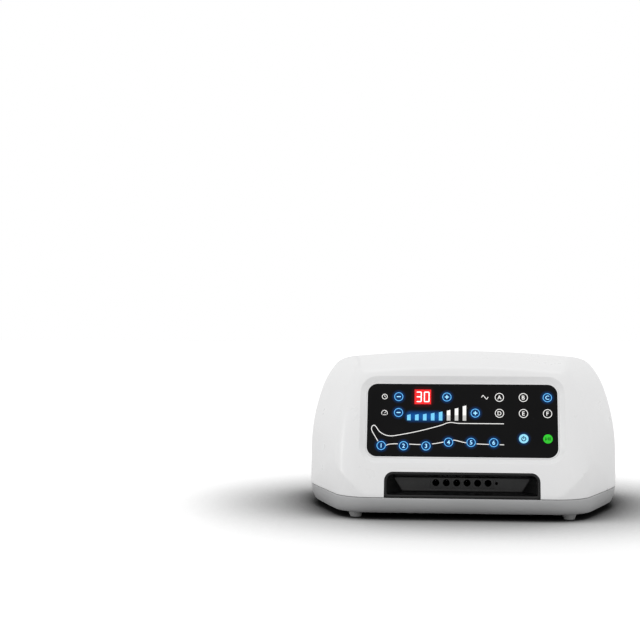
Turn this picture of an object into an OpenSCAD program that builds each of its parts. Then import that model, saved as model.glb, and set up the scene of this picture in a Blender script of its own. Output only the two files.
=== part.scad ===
// Table-top air compression therapy pump.
// Frame: X to the right, Y to the back, Z up; the origin is on the table under the middle of the body.

/* [Body] */
// Widest width of the body
body_w = 290; // [284:1:296]
// Depth from the front edge to the back edge
body_d = 208; // [204:1:212]
// Height of the roof above the table
body_h = 147; // [145:0.5:150]
// Height of the seam between the white cover and the grey base
seam_z = 19.5; // [19:0.25:20.5]
// Wall of the cover and of the base
wall = 2.5; // [2.2:0.1:2.8]
// Lean of the front face from upright, in degrees
lean = 20; // [19:0.5:21]
// Radius of the brow where the front face turns into the roof
brow_r = 12; // [10:0.5:14]
// Radius of the roof from front to back
roof_r = 100; // [96:1:106]
// Radius of the roof from side to side
crown_r = 1050; // [950:10:1300]
// Radius of the shoulders at the top of the sides
shoulder_r = 70; // [64:1:74]
// Radius of the upright corners beside the front face
nose_r = 24; // [22:1:26]
// Radius of the lower edge at the front and back
low_edge_r = 17; // [16:0.5:19]
// Radius of the lower edge at the sides
low_side_r = 40; // [37:0.5:43]

/* [Feet and screws] */
// Height of the rubber feet
foot_h = 5; // [4:0.25:6]
// Width of a foot at its top
foot_d = 13.8; // [12:0.2:15]
// Width of a foot at its tip
foot_tip_d = 9.2; // [7:0.2:11]
// Distance of a foot from the side of the body
foot_side = 49; // [47:0.5:53]
// Distance of a foot from the front or back of the body
foot_end = 19; // [18:0.5:22]
// Width of the screw posts in the cover
post_d = 9; // [8:0.25:10]
// Distance of a screw post from the side of the body
post_side = 39; // [37:0.25:40]
// Distance of a screw post from the front or back of the body
post_end = 34; // [32:0.5:36]
// Thread size of the case screws
screw_d = 2.9; // [2.5:0.1:3.2]

/* [Control panel] */
// Width of the black fascia
fascia_w = 172; // [171:0.5:174]
// Corner radius of the fascia
fascia_r = 9; // [7:0.5:11]
// Thickness of the fascia
fascia_t = 2.4; // [2:0.1:2.8]
// Width of the bevel around the fascia
bevel_w = 6.6; // [5.8:0.2:7.2]
// Depth of the bevel around the fascia
bevel_d = 4.4; // [3.8:0.1:5]
// How far the fascia stands out of the floor of its recess
fascia_proud = 0.4; // [0.2:0.1:0.8]
// Width of the time display
display_w = 15; // [14:0.5:17]
// Height of the time display
display_h = 13.8; // [13:0.2:14.4]
// Number of bars in the pressure scale
bars = 8; // [6:1:8]
// Distance between the bars
bar_pitch = 7.2; // [6.6:0.1:7.4]
// Width of one bar
bar_w = 3.2; // [2.6:0.1:3.8]
// Height of the shortest bar
bar_h = 5.6; // [4.6:0.1:6]

/* [Keys] */
// Diameter of a key
key_d = 8.4; // [7.6:0.1:8.6]
// Play around a key
key_play = 0.15; // [0.1:0.05:0.3]
// Travel of a key
key_travel = 0.5; // [0.3:0.05:0.55]
// Distance of the top row of keys from the upper edge of the fascia
time_drop = 12.1; // [11.5:0.1:12.8]
// Distance between the two upper rows of keys
row_pitch = 15; // [14.6:0.1:15.2]
// Distance of the lowest keys from the lower edge of the fascia
position_rise = 10.05; // [9.65:0.1:11]
// Side place of the first mode key
mode_x = 33.8; // [32:0.2:34]
// Distance between the mode keys
mode_pitch = 21.6; // [21:0.1:21.6]
// Side place of the first position key
position_x = -73; // [-74:0.5:-72]
// Distance between the position keys
position_pitch = 20.3; // [19.5:0.1:20.5]

/* [Hose outlet] */
// Width of the outlet bay
bay_w = 139; // [136:0.5:142]
// Height of the outlet bay above the seam
bay_h = 22.5; // [22.3:0.1:23.2]
// Depth of the bay behind the front edge of the body
bay_depth = 26; // [24:0.5:27]
// Upper corner radius of the bay
bay_r = 7.8; // [6:0.2:9]
// Number of air sockets
sockets = 6; // [4:1:6]
// Distance between the air sockets
socket_pitch = 9.42; // [9.2:0.02:9.8]
// Bore of an air socket
socket_d = 6.4; // [5.8:0.1:6.8]
// Depth of the bore of an air socket
socket_l = 12; // [10:0.5:13]

/* [Air pump and valves] */
// Side place of the pump
pump_x = -22; // [-24:0.5:-20]
// Distance of the pump's middle from the back of the body
pump_back = 64; // [62:0.5:66]
// Diameter of the pump's heads
head_d = 58; // [56:0.5:59]
// Distance of each head from the middle of the pump
head_x = 51; // [50:0.5:53]
// Stroke of the pump's armature to each side
stroke = 1.5; // [1:0.1:1.8]
// Lift of a valve plunger
valve_lift = 1.5; // [1:0.1:1.8]
// Distance between the valves
valve_pitch = 15; // [14.5:0.1:15.5]

/* [Hidden] */

$fn = 48;
far = 400;               // longer than the body every way
fit = 0.1;               // play between a fixed piece and its hole
sag = 0.1;               // how far a chord of an outline may lie inside its arc
flank_r = 175;           // radius of the bulge of the sides
flank_drop = 95;         // widest height of the sides, below the roof
bulge_r = 40;            // plan radius where the sides are widest
rear_r = 45;             // plan radius of the rear corners
plan_spare = 0.5;        // the plan is this much wider than the front outline
nose_set = 51;           // centre of a front corner, in from the widest width
low_nose_r = 36;         // plan radius of the front corners where they stand upright, near the seam
low_nose_set = 63;       // its centre, in from the widest width
low_side_rise = 4.5;     // where the lower sides are widest, above the seam
roof_slope = 27;         // slope of the roof behind the brow, in degrees
back_roof_r = 200;       // radius of the roof's rear half
back_top_r = 42;         // radius where the roof turns into the back
back_top_set = 48.2;     // its centre, in from the back edge
panel_rest = 78.8;       // height of the body that the fascia leaves free
panel_gap = 3.15;        // plain face between the bevel and the brow
sweep_half = 10;         // half the angle that the crowned profile is swept through

// --- Outlines: chains of circles [x, y, r], anticlockwise, wrapped by arcs and straight lines ---

function dir(a) = [cos(a), sin(a)];
function middle(c) = [c[0], c[1]];
function mirrored(c) = [-c[0], c[1], c[2]];

// A circle of radius r that touches circle c from inside, or around it, at angle a
function beside(c, r, a) = [c[0] + (c[2] - r) * cos(a), c[1] + (c[2] - r) * sin(a), r];

// The angle at which a wrapped line leaves circle p for circle q
function leave(p, q) =
    let (d = middle(q) - middle(p), ratio = (p[2] - q[2]) / norm(d))
    atan2(d[1], d[0]) - acos(max(-1, min(1, ratio)));

function turn(a, b) = let (s = b - a - 360 * floor((b - a) / 360)) s > 359.9 ? 0 : s;

function arc(c, a, b, inset) =
    let (s = turn(a, b), n = max(1, ceil(s / min(10, 2 * acos(1 - sag / c[2])))))
    [for (i = [0:n]) middle(c) + (c[2] - inset) * dir(a + s * i / n)];

function distinct(points) =
    let (n = len(points))
    [for (i = [0:n - 1]) if (norm(points[i] - points[(i + n - 1) % n]) > 0.01) points[i]];

function wrap(chain, inset = 0) =
    let (n = len(chain))
    distinct([for (i = [0:n - 1]) each
        arc(chain[i], leave(chain[(i + n - 1) % n], chain[i]), leave(chain[i], chain[(i + 1) % n]), inset)]);

// A band of thickness t along a line of points
function band(points, t) =
    let (n = len(points), side = [for (i = [0:n - 1])
        let (a = points[min(i + 1, n - 1)] - points[max(i, 1) - 1],
             b = points[max(i, 1)] - points[max(i, 1) - 1],
             across = [-a[1], a[0]] / norm(a))
        across * t / 2 / (across * [-b[1], b[0]] / norm(b))])
    concat([for (i = [0:n - 1]) points[i] + side[i]], [for (i = [n - 1:-1:0]) points[i] - side[i]]);

// Side profile, [y, z, r]
low_front = [-body_d / 2 + low_edge_r, seam_z - 1, low_edge_r];
low_back = [body_d / 2 - low_edge_r, seam_z - 1, low_edge_r];
out = dir(180 - lean);   // outward normal of the front face, in [y, z]
face_reach = middle(low_front) * out + low_edge_r;
function face_y(z) = (face_reach - z * out[1]) / out[0];
brow_z = body_h - roof_r + brow_r * sin(lean) + (roof_r - brow_r) * cos(roof_slope);
brow = [face_y(brow_z) - brow_r * out[0], brow_z - brow_r * out[1], brow_r];
roof = beside(brow, roof_r, 90 + roof_slope);
back_roof = beside(roof, back_roof_r, 80);
back_top_y = body_d / 2 - back_top_set;
back_top_rise = sqrt(pow(back_roof_r - back_top_r, 2) - pow(back_top_y - back_roof[0], 2));
back_top = [back_top_y, back_roof[1] + back_top_rise, back_top_r];
side_chain = [low_front, low_back, back_top, back_roof, roof, brow];
function back_y(z) =
    let (n = dir(leave(low_back, back_top)))
    (middle(low_back) * n + low_edge_r - z * n[1]) / n[0];

// Front outline, [x, z, r]
low_side = [body_w / 2 - low_side_r, seam_z + low_side_rise, low_side_r];
flank = [body_w / 2 - flank_r, body_h - flank_drop, flank_r];
shoulder = beside(flank, shoulder_r, 20);
front_chain = [low_side, flank, shoulder, mirrored(shoulder), mirrored(flank), mirrored(low_side)];

// Plan, [x, y, r]
nose = [body_w / 2 - nose_set, -body_d / 2 + nose_r, nose_r];
low_nose = [body_w / 2 - low_nose_set, -body_d / 2 + low_nose_r, low_nose_r];
bulge = [body_w / 2 + plan_spare - bulge_r, 0, bulge_r];
rear = [body_w / 2 + plan_spare - rear_r, body_d / 2 - rear_r, rear_r];
plan_chain = [low_nose, bulge, rear, mirrored(rear), mirrored(bulge), mirrored(low_nose)];

// The plan that leans with the front face is wider and open to the back
lean_bulge = bulge + [plan_spare, 0, 0];
lean_rear = [lean_bulge[0], far, bulge_r];
lean_chain =
    [nose, lean_bulge, lean_rear, mirrored(lean_rear), mirrored(lean_bulge), mirrored(nose)];

// --- Panel: the local frame has its origin on the front face, y up the slope, z outward ---

fascia_h = body_h - panel_rest;
surround_w = fascia_w + 2 * (fit + bevel_w);
surround_h = fascia_h + 2 * (fit + bevel_w);
surround_r = fascia_r + bevel_w;
panel_z = brow_z - (surround_h / 2 + panel_gap) * cos(lean);
fascia_front = fascia_proud - bevel_d;
fascia_back = fascia_front - fascia_t;
ledge = 3.3;                       // width of the ledge that the fascia lies on
ledge_back = fascia_back - wall;
flange_t = 1;                      // retaining flange of a key
flange_d = key_d + 2.4;
flange_top = fascia_back - fit;
stem_d = 3;
stem_end = ledge_back;
switch_tip = stem_end - key_travel - 0.1;   // a pressed key stops just above it
switch_body = switch_tip - 0.4;
switch_w = 6;
switch_t = 3.1;
board_front = switch_body - switch_t;
board_t = 1.6;
board_back = board_front - board_t;
board_w = fascia_w + 12;
board_h = fascia_h - 5.2;
board_post_d = 6;
board_screw_x = fascia_w / 2 + 2;
board_screw_y = board_h / 2 - 11;
board_screw_d = 1.9;
board_screw_head_d = 4;
board_screw_head_t = 1.6;
receiver_x = 44;
receiver_drop = 5;                 // how far the receiver lies below the power and start keys
receiver_size = [7, 6];
receiver_t = 4.5;
minus_x = -57.7;
time_plus_x = -13.8;
pressure_plus_x = 12;
time_row = fascia_h / 2 - time_drop;
pressure_row = time_row - row_pitch;
position_low = -fascia_h / 2 + position_rise;
position_high = position_low + 3.65;
power_row = position_low + 7.6;
display_x = (minus_x + time_plus_x) / 2;
bars_x = -48.2;
bars_drop = 7.15;                  // how far the bars start below the second row of keys
bar_growth = 0.176;
bar_slant = 0.8;
function bar_top(i) = bar_h + bar_growth * i * i;

// Each key: name, place to the side, place up the slope
KEYS = concat(
    [
        ["time_minus_key", minus_x, time_row],
        ["time_plus_key", time_plus_x, time_row],
        ["pressure_minus_key", minus_x, pressure_row],
        ["pressure_plus_key", pressure_plus_x, pressure_row],
    ],
    [for (i = [0:2]) [str("mode_", "abc"[i], "_key"), mode_x + i * mode_pitch, time_row]],
    [for (i = [0:2]) [str("mode_", "def"[i], "_key"), mode_x + i * mode_pitch, pressure_row]],
    [for (i = [0:5])
        [
            str("position_", i + 1, "_key"),
            position_x + i * position_pitch,
            i < 3 ? position_low : position_high
        ]],
    [
        ["power_key", mode_x + mode_pitch, power_row],
        ["start_key", mode_x + 2 * mode_pitch, power_row],
    ]
);

// --- Places inside ---

floor_z = foot_h + wall;
foot_x = body_w / 2 - foot_side;
foot_y = body_d / 2 - foot_end;
post_x = body_w / 2 - post_side;
post_y = body_d / 2 - post_end;
screw_head_d = 7;
screw_head_t = 2.4;
screw_seat_z = foot_h + 6.5;
screw_reach = 12;                  // how far a case screw enters its post
foot_peg_d = 5;
plate_size = [70, 34];
plate_t = 0.5;
plate_y = -40;

bay_back = -body_d / 2 + bay_depth;
bay_wall = 2;
bay_rim = 2.7;
bay_floor = seam_z + 3;
bay_taper_low = 13;                // how much narrower each side of the bay's back is, at its bottom
bay_taper_top = 5;                 // and at its top
bay_top_drop = 3.8;                // how much lower the bay ends at its back
socket_z = seam_z + 10.7;
socket_block_h = 10;
socket_body = socket_l + 4;
socket_back = bay_back + socket_body;
airway_d = 3;
spigot_d = 4.8;
spigot_l = 6;
tube_d = 6.8;
guide_hole_d = 2.8;                // hole for the guide pin of the hose plug
guide_hole_x = 31.2;

chamber_tube_l = 16;
manifold_front = socket_back + chamber_tube_l;
manifold_t = 20;
manifold_y = manifold_front + manifold_t / 2;
manifold_back = manifold_front + manifold_t;
manifold_z = seam_z + 4.5;
manifold_h = 14;
manifold_top = manifold_z + manifold_h;
valves = sockets + 1;
manifold_w = valves * valve_pitch + 20;
manifold_x = 6;
coil_w = 13;
coil_h = 18;
plunger_d = 6;
plunger_h = 12;
plunger_seat = 0.2;
coil_bore_h = plunger_seat + plunger_h + valve_lift + 0.3;
sensor_size = [8, 10, 7];
sensor_port_d = 4;
sensor_port_h = 10;

pump_y = body_d / 2 - pump_back;
head_t = 14;
head_wall = 6;
head_cap = 3;
head_port = head_t / 2 + 2;        // place of a head's air port from its diaphragm
pump_plate_z = floor_z + 12.5;
pump_plate_t = 4;
pump_z = pump_plate_z + pump_plate_t + head_d / 2 + 1;
pump_plate_w = 2 * head_x + 30;
pump_plate_d = 60;
upright_t = 10;
diaphragm_t = 2;
hub_d = 22;
hub_t = 3.2;
mount_d = 12;
mount_peg_d = 3.8;
mount_x = pump_plate_w / 2 - 8;
mount_y = pump_plate_d / 2 - 8;
mount_z = floor_z + 3;
rod_d = 8;
rod_play = 0.35;
magnet = [36, 16, 16];
core_gap = 1.5;
core = [48, 16, 40];
supply_x = pump_x + head_x + head_port;
supply_z = manifold_z + manifold_h / 2;
intake_x = pump_x - head_x - head_port;

filter_d = 36;
filter_z = seam_z + filter_d / 2 + wall + 4;
filter_wall = 2;
filter_cover_t = 3;
filter_cup_l = 20;
filter_front = back_y(filter_z) - filter_cup_l;
filter_seat = back_y(filter_z) - filter_cover_t - 1;
vent_x = 46;
vent_z = filter_z + filter_d / 2 + wall + 4;
vent_h = 26;
slot_w = 3;
slot_pitch = 7;
base_slot_l = 32;

power_board_set = [85, 124];       // its front left corner, in from the body's right side and back
power_board_min = [body_w, body_d] / 2 - power_board_set;
power_board_size = [62, 78];
power_board_z = floor_z + 6.5;
transformer_size = [44, 38, 34];
transformer_set = [9, 12];         // its corner, in from the corner of the power board
inlet_set = [69, 16];              // its middle, in from the body's right side and up from the seam
inlet_x = body_w / 2 - inlet_set[0];
inlet_z = seam_z + inlet_set[1];
inlet_flange = [30, 22];
inlet_body = [24, 16];
inlet_flange_t = 2;
inlet_seat = back_y(inlet_z + inlet_flange[1] / 2) - inlet_flange_t - 0.5;
inlet_depth = 20;
inlet_bore_d = 8.2;
inlet_bore_l = 13;
inlet_pin_d = 2.4;
inlet_pin_pitch = 8.6;
lead_w = 3;
lead_t = 1.2;
ribbon_x = 80;
ribbon_w = 16;
ribbon_t = 1;
ribbon_drop = 14;                  // how far the ribbon cable reaches behind and below its connector

// How far a tube at height z has to end from the pump's axis to clear the round head
function port_reach(z) =
    let (rise = abs(pump_z - z) - tube_d / 2)
    sqrt(head_d * head_d / 4 - rise * rise) + 0.3;

// --- Shared shapes ---

module along_x(points) rotate([90, 0, 90]) linear_extrude(far, center = true) polygon(points);
module along_y(points) rotate([90, 0, 0]) linear_extrude(far, center = true) polygon(points);

// The side profile swept from side to side on the crown's radius
module crowned(points) {
    axis_z = body_h - crown_r;
    translate([0, 0, axis_z])
        rotate([0, -90, -90])
            rotate([0, 0, -sweep_half])
                rotate_extrude(angle = 2 * sweep_half, $fn = 720)
                    polygon([for (p = points) [p[1] - axis_z, p[0]]]);
}

// The plan extruded along a line that leans back by an angle from the front edge of the seam
module leaning(points, angle) {
    front = -body_d / 2;
    translate([0, front, seam_z])
        rotate([-angle, 0, 0])
            linear_extrude(far, center = true)
                polygon([for (p = points) [p[0], (p[1] - front) * cos(angle)]]);
}

module cover_form(inset = 0) intersection() {
    along_y(wrap(front_chain, inset));
    crowned(wrap(side_chain, inset));
    leaning(wrap(plan_chain, inset), 0);
    leaning(wrap(lean_chain, inset), lean);
}

module base_form(inset = 0) intersection() {
    along_y(wrap(front_chain, inset));
    along_x(wrap(side_chain, inset));
    leaning(wrap(plan_chain, inset), 0);
    leaning(wrap(lean_chain, inset), -lean);
}

module slab(low, high) translate([-far / 2, -far / 2, low]) cube([far, far, high - low]);

module on_panel() translate([0, face_y(panel_z), panel_z]) rotate([90 - lean, 0, 0]) children();

module rounded(w, h, r) {
    square([w - 2 * r, h], center = true);
    square([w, h - 2 * r], center = true);
    for (x = [-1, 1], y = [-1, 1]) translate([x * (w / 2 - r), y * (h / 2 - r)]) circle(r);
}

// A layer of the panel between two depths
module layer(low, high) translate([0, 0, low]) linear_extrude(high - low) children();

module at_corners(x, y) for (i = [-1, 1], j = [-1, 1]) translate([i * x, j * y]) children();

// Round bar and drilled round bar along Y, from y = 0 towards the back
module bar_y(d, l) rotate([-90, 0, 0]) cylinder(d = d, h = l);
module tube_y(d, bore, l) difference() {
    bar_y(d, l);
    translate([0, -1, 0]) bar_y(bore, l + 2);
}

// Upright round bar between two heights
module round_bar(low, high, d) translate([0, 0, low]) cylinder(d = d, h = high - low);

// Slots side by side through a wall
module slots(count, size, pitch = slot_pitch) for (i = [0:count - 1])
    translate([(i - (count - 1) / 2) * pitch - size[0] / 2, 0, 0]) cube(size);

// --- Casing ---

module bay_outline(spare) {
    w = bay_w / 2 + spare;
    h = bay_h + spare;
    intersection() {
        translate([0, (h - far) / 2]) rounded(2 * w, h + far, bay_r + spare);
        translate([-far / 2, 0]) square([far, far]);
    }
}

module bay_block(spare, back) intersection() {
    translate([0, back, seam_z]) rotate([90, 0, 0]) linear_extrude(far / 2) bay_outline(spare);
    slab(seam_z - spare, body_h);
}

// A rounded rectangle that widens by grow on every side between two depths
module flared(w, h, r, low, high, grow) {
    module side(across, along) rotate([90, 0, 0]) linear_extrude(along, center = true) polygon([
        [-across / 2, low],
        [across / 2, low],
        [across / 2 + grow, high],
        [-across / 2 - grow, high],
    ]);
    side(w, h - 2 * r);
    rotate([0, 0, 90]) side(h, w - 2 * r);
    translate([0, 0, low]) at_corners(w / 2 - r, h / 2 - r) cylinder(r1 = r, r2 = r + grow, h = high - low);
}

module panel_recess() on_panel() {
    flared(fascia_w + 2 * fit, fascia_h + 2 * fit, fascia_r + fit, -bevel_d, bevel_d, 2 * bevel_w);
    layer(fascia_back, 0) rounded(fascia_w + 2 * fit, fascia_h + 2 * fit, fascia_r + fit);
    layer(ledge_back - 1, 0) rounded(fascia_w - 2 * ledge, fascia_h - 2 * ledge, fascia_r - ledge);
}

// What the cover carries inside: panel frame, screw posts, inlet seat and filter cup
module cover_inside() {
    on_panel() {
        layer(ledge_back, -0.5) rounded(surround_w + 2 * wall, surround_h + 2 * wall, surround_r + wall);
        layer(board_front, ledge_back + 1) at_corners(board_screw_x, board_screw_y) circle(d = board_post_d);
    }
    translate([0, 0, seam_z]) linear_extrude(far) at_corners(post_x, post_y) circle(d = post_d);
    translate([inlet_x, inlet_seat - wall, inlet_z])
        rotate([-90, 0, 0]) linear_extrude(far) square(inlet_flange + 2 * [wall, wall], center = true);
    translate([intake_x, filter_front, filter_z]) {
        bar_y(filter_d + 2 * wall, far);
        translate([0, -spigot_l, 0]) bar_y(spigot_d, spigot_l + 1);
    }
}

module cover_cuts() {
    panel_recess();
    bay_block(fit, bay_back + 20);
    on_panel() layer(board_front - 1, ledge_back)
        at_corners(board_screw_x, board_screw_y) circle(d = board_screw_d + fit);
    at_corners(post_x, post_y) round_bar(seam_z - 1, seam_z + screw_reach + 1, screw_d + fit);
    translate([inlet_x, inlet_seat, inlet_z]) {
        rotate([-90, 0, 0]) linear_extrude(far) square(inlet_flange + [2, 2] * fit, center = true);
        rotate([90, 0, 0]) linear_extrude(far / 8) square(inlet_body + [2, 2] * fit, center = true);
    }
    translate([intake_x, filter_front, filter_z]) {
        translate([0, filter_wall, 0]) bar_y(filter_d - 4, far);
        translate([0, -spigot_l - 1, 0]) bar_y(airway_d, far);
    }
    translate([intake_x, filter_seat, filter_z]) bar_y(filter_d + 2 * fit, far);
    for (x = [-vent_x, vent_x]) translate([x, back_top[0], vent_z]) slots(8, [slot_w, far, vent_h]);
}

module top_shell() color("white") difference() {
    cover_form();
    difference() {
        cover_form(wall);
        cover_inside();
    }
    cover_cuts();
    slab(-far, seam_z);
}

module base_shell() color("darkgray") difference() {
    base_form();
    difference() {
        base_form(wall);
        slab(-far, floor_z);
        translate([0, 0, foot_h]) base_posts();
    }
    slab(-far, foot_h);
    slab(seam_z, far);
    at_corners(post_x, post_y) {
        cylinder(d = screw_d + 0.7, h = far);
        cylinder(d = screw_head_d + 1, h = screw_seat_z);
    }
    at_corners(foot_x, foot_y) cylinder(d = foot_peg_d + 2 * fit, h = far);
    for (s = [-1, 1]) translate([pump_x + s * core[0] / 2, pump_y - base_slot_l / 2, 0])
        slots(6, [slot_w, base_slot_l, floor_z + 1]);
}

// Posts that rise from the floor of the base, drawn from its underside
module base_posts() {
    module post(d, top) round_bar(0, top - foot_h, d);
    at_corners(post_x, post_y) post(post_d + 3, seam_z);
    translate([pump_x, pump_y]) at_corners(mount_x, mount_y) post(mount_d, mount_z);
    for (x = [-1, 1]) {
        translate([manifold_x + x * (manifold_w / 2 - 6), manifold_y]) post(8, manifold_z);
        translate([x * (bay_w / 2 - 12), bay_back - 6]) post(8, seam_z);
    }
    translate(power_board_min + power_board_size / 2)
        at_corners(power_board_size[0] / 2 - 5, power_board_size[1] / 2 - 5) post(6, power_board_z);
}

module feet() color("gray") at_corners(foot_x, foot_y) {
    cylinder(d1 = foot_tip_d, d2 = foot_d, h = foot_h);
    cylinder(d = foot_peg_d, h = floor_z + 1);
}

module case_screws() color("silver") at_corners(post_x, post_y) {
    round_bar(screw_seat_z - screw_head_t, screw_seat_z, screw_head_d);
    round_bar(screw_seat_z - 1, seam_z + screw_reach, screw_d);
}

module rating_plate() color("silver")
    translate([0, plate_y, foot_h - plate_t])
        linear_extrude(plate_t) rounded(plate_size[0], plate_size[1], 3);

// --- Control panel ---

module key_places() for (k = KEYS) translate([k[1], k[2]]) children();

module bar_outline(i, spare = 0) translate([bars_x + i * bar_pitch, pressure_row - bars_drop])
    polygon([
        [-bar_w / 2 - spare, -spare],
        [bar_w / 2 + spare, -spare],
        [bar_w / 2 + spare, bar_top(i) + spare],
        [-bar_w / 2 - spare, bar_top(i) + spare - bar_slant],
    ]);

module panel_fascia() color("black") on_panel() difference() {
    layer(fascia_back, fascia_front) rounded(fascia_w, fascia_h, fascia_r);
    layer(fascia_back - 1, 0) {
        key_places() circle(d = key_d + 2 * key_play);
        translate([display_x, time_row]) square([display_w, display_h] + [2, 2] * fit, center = true);
        for (i = [0:bars - 1]) bar_outline(i, fit);
    }
}

module time_display() color("darkred") on_panel()
    layer(board_front, fascia_front)
        translate([display_x, time_row]) square([display_w, display_h], center = true);

module pressure_bars() color("dodgerblue") on_panel()
    layer(board_front, fascia_front) for (i = [0:bars - 1]) bar_outline(i);

module control_board() color("green") on_panel() layer(board_back, board_front) difference() {
    square([board_w, board_h], center = true);
    at_corners(board_screw_x, board_screw_y) circle(d = board_screw_d + 0.5);
}

module board_screws() color("silver") on_panel() {
    layer(board_back - board_screw_head_t, board_back)
        at_corners(board_screw_x, board_screw_y) circle(d = board_screw_head_d);
    layer(board_back - 1, ledge_back - 1) at_corners(board_screw_x, board_screw_y) circle(d = board_screw_d);
}

module tactile_switches() color("dimgray") on_panel() {
    layer(board_front, switch_body) key_places() square(switch_w, center = true);
    layer(board_front + 1, switch_tip) key_places() circle(d = stem_d);
}

module remote_receiver() color("indigo") on_panel()
    layer(board_front, board_front + receiver_t)
        translate([receiver_x, power_row - receiver_drop]) square(receiver_size, center = true);

module key(i) color(i > 15 ? "lightskyblue" : "black") on_panel() translate([KEYS[i][1], KEYS[i][2]]) {
    layer(flange_top - flange_t / 2, fascia_front) circle(d = key_d);
    layer(flange_top - flange_t, flange_top) circle(d = flange_d);
    layer(stem_end, flange_top - flange_t / 2) circle(d = stem_d);
}

// --- Hose outlet ---

// The tapering hollow of the bay, narrower at the bottom of its back
module bay_hollow() {
    top = seam_z + bay_h - bay_rim;
    front_w = bay_w - 2 * bay_rim + 1;
    hull() {
        translate([0, -body_d / 2 - 2, (bay_floor + top) / 2])
            rotate([90, 0, 0]) linear_extrude(0.01) rounded(front_w, top - bay_floor, bay_r - bay_rim);
        translate([0, bay_back, 0])
            rotate([90, 0, 0]) linear_extrude(0.01) polygon([
                [-front_w / 2 + bay_taper_low, bay_floor],
                [front_w / 2 - bay_taper_low, bay_floor],
                [front_w / 2 - bay_taper_top, top - bay_top_drop],
                [-front_w / 2 + bay_taper_top, top - bay_top_drop],
            ]);
    }
}

module outlet_bay() color("black") difference() {
    intersection() {
        bay_block(0, bay_back + bay_wall);
        cover_form();
    }
    bay_hollow();
    translate([-sockets * socket_pitch / 2 - fit, bay_back - 1, socket_z - socket_block_h / 2 - fit])
        cube([sockets * socket_pitch + 2 * fit, bay_wall + 2, socket_block_h + 2 * fit]);
    translate([guide_hole_x, bay_back - 1, socket_z]) bar_y(guide_hole_d, far);
}

module at_sockets() for (i = [0:sockets - 1])
    translate([(i - (sockets - 1) / 2) * socket_pitch, 0, socket_z]) children();

module air_sockets() color("black") at_sockets() translate([0, bay_back, 0]) difference() {
    union() {
        translate([-socket_pitch / 2 + fit / 2, 0, -socket_block_h / 2])
            cube([socket_pitch - fit, socket_body, socket_block_h]);
        bar_y(spigot_d, socket_body + spigot_l);
    }
    translate([0, -1, 0]) {
        bar_y(socket_d, socket_l + 1);
        bar_y(airway_d, far / 4);
    }
}

module chamber_tubes() color("lightgray") at_sockets()
    translate([0, socket_back + fit, 0])
        tube_y(tube_d, spigot_d + fit, manifold_front - socket_back - 2 * fit);

// --- Valves ---

function valve_x(i) = manifold_x + (i - (valves - 1) / 2) * valve_pitch;

module valve_manifold() color("gainsboro") difference() {
    union() {
        translate([manifold_x - manifold_w / 2, manifold_front, manifold_z])
            cube([manifold_w, manifold_t, manifold_h]);
        at_sockets() translate([0, manifold_front - spigot_l, 0]) bar_y(spigot_d, spigot_l + 1);
        translate([supply_x, manifold_back - 1, supply_z]) bar_y(spigot_d, spigot_l + 1);
    }
    at_sockets() translate([0, manifold_front - spigot_l - 1, 0]) bar_y(airway_d, spigot_l + 6);
    translate([supply_x, manifold_back - 5, supply_z]) bar_y(airway_d, spigot_l + 6);
}

module valve_coils() color("steelblue") for (i = [0:valves - 1])
    translate([valve_x(i), manifold_y, manifold_top]) difference() {
        translate([-coil_w / 2, -coil_w / 2, 0]) cube([coil_w, coil_w, coil_h]);
        round_bar(-1, coil_bore_h, plunger_d + 2 * fit);
    }

module plunger(i) color("silver") translate([valve_x(i), manifold_y, manifold_top + plunger_seat])
    cylinder(d = plunger_d, h = plunger_h);

module pressure_sensor() color("dimgray")
    translate([manifold_x + manifold_w / 2 - sensor_size[0] / 2 - 2, manifold_y, manifold_top]) {
        translate([-sensor_size[0] / 2, -sensor_size[1] / 2, 0]) cube(sensor_size);
        cylinder(d = sensor_port_d, h = sensor_port_h);
    }

module supply_tube() color("lightgray")
    translate([supply_x, manifold_back + fit, supply_z])
        tube_y(tube_d, spigot_d + fit, pump_y - port_reach(supply_z) - manifold_back - fit);

// --- Pump ---

module at_pump() translate([pump_x, pump_y, pump_z]) children();

// Round bar along X, around the pump's axis, between two places
module pump_bar(d, from, to) translate([from, 0, 0]) rotate([0, 90, 0]) cylinder(d = d, h = to - from);

module pump_frame() color("silver") difference() {
    union() {
        translate([pump_x - pump_plate_w / 2, pump_y - pump_plate_d / 2, pump_plate_z])
            cube([pump_plate_w, pump_plate_d, pump_plate_t]);
        at_pump() for (s = [0, 180]) rotate([0, 0, s]) {
            pump_bar(head_d, head_x - diaphragm_t - upright_t, head_x - diaphragm_t);
            translate([head_x - diaphragm_t - upright_t, -head_d / 4, pump_plate_z - pump_z + 1])
                cube([upright_t, head_d / 2, head_d / 4]);
        }
    }
    at_pump() pump_bar(rod_d + 2 * rod_play, -far / 2, far / 2);
    translate([pump_x, pump_y, 0]) at_corners(mount_x, mount_y) cylinder(d = mount_peg_d + 2 * fit, h = far);
}

module pump_coils() color("peru") at_pump() for (s = [-1, 1]) {
    y = s * (magnet[1] / 2 + core_gap + core[1] / 2);
    translate([-core[0] / 2, y - core[1] / 2, pump_plate_z + pump_plate_t - pump_z]) cube(core);
}

module pump_armature() color("silver") at_pump() {
    hub = head_x + stroke + 0.3;
    pump_bar(rod_d, -hub - hub_t - 1, hub + hub_t + 1);
    translate(-magnet / 2) cube(magnet);
    for (s = [0, 180]) rotate([0, 0, s]) pump_bar(hub_d, hub, hub + hub_t);
}

module pump_diaphragms() color("dimgray") at_pump() for (s = [0, 180]) rotate([0, 0, s]) difference() {
    pump_bar(head_d, head_x - diaphragm_t, head_x);
    pump_bar(rod_d + 2 * rod_play, 0, far / 4);
}

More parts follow.
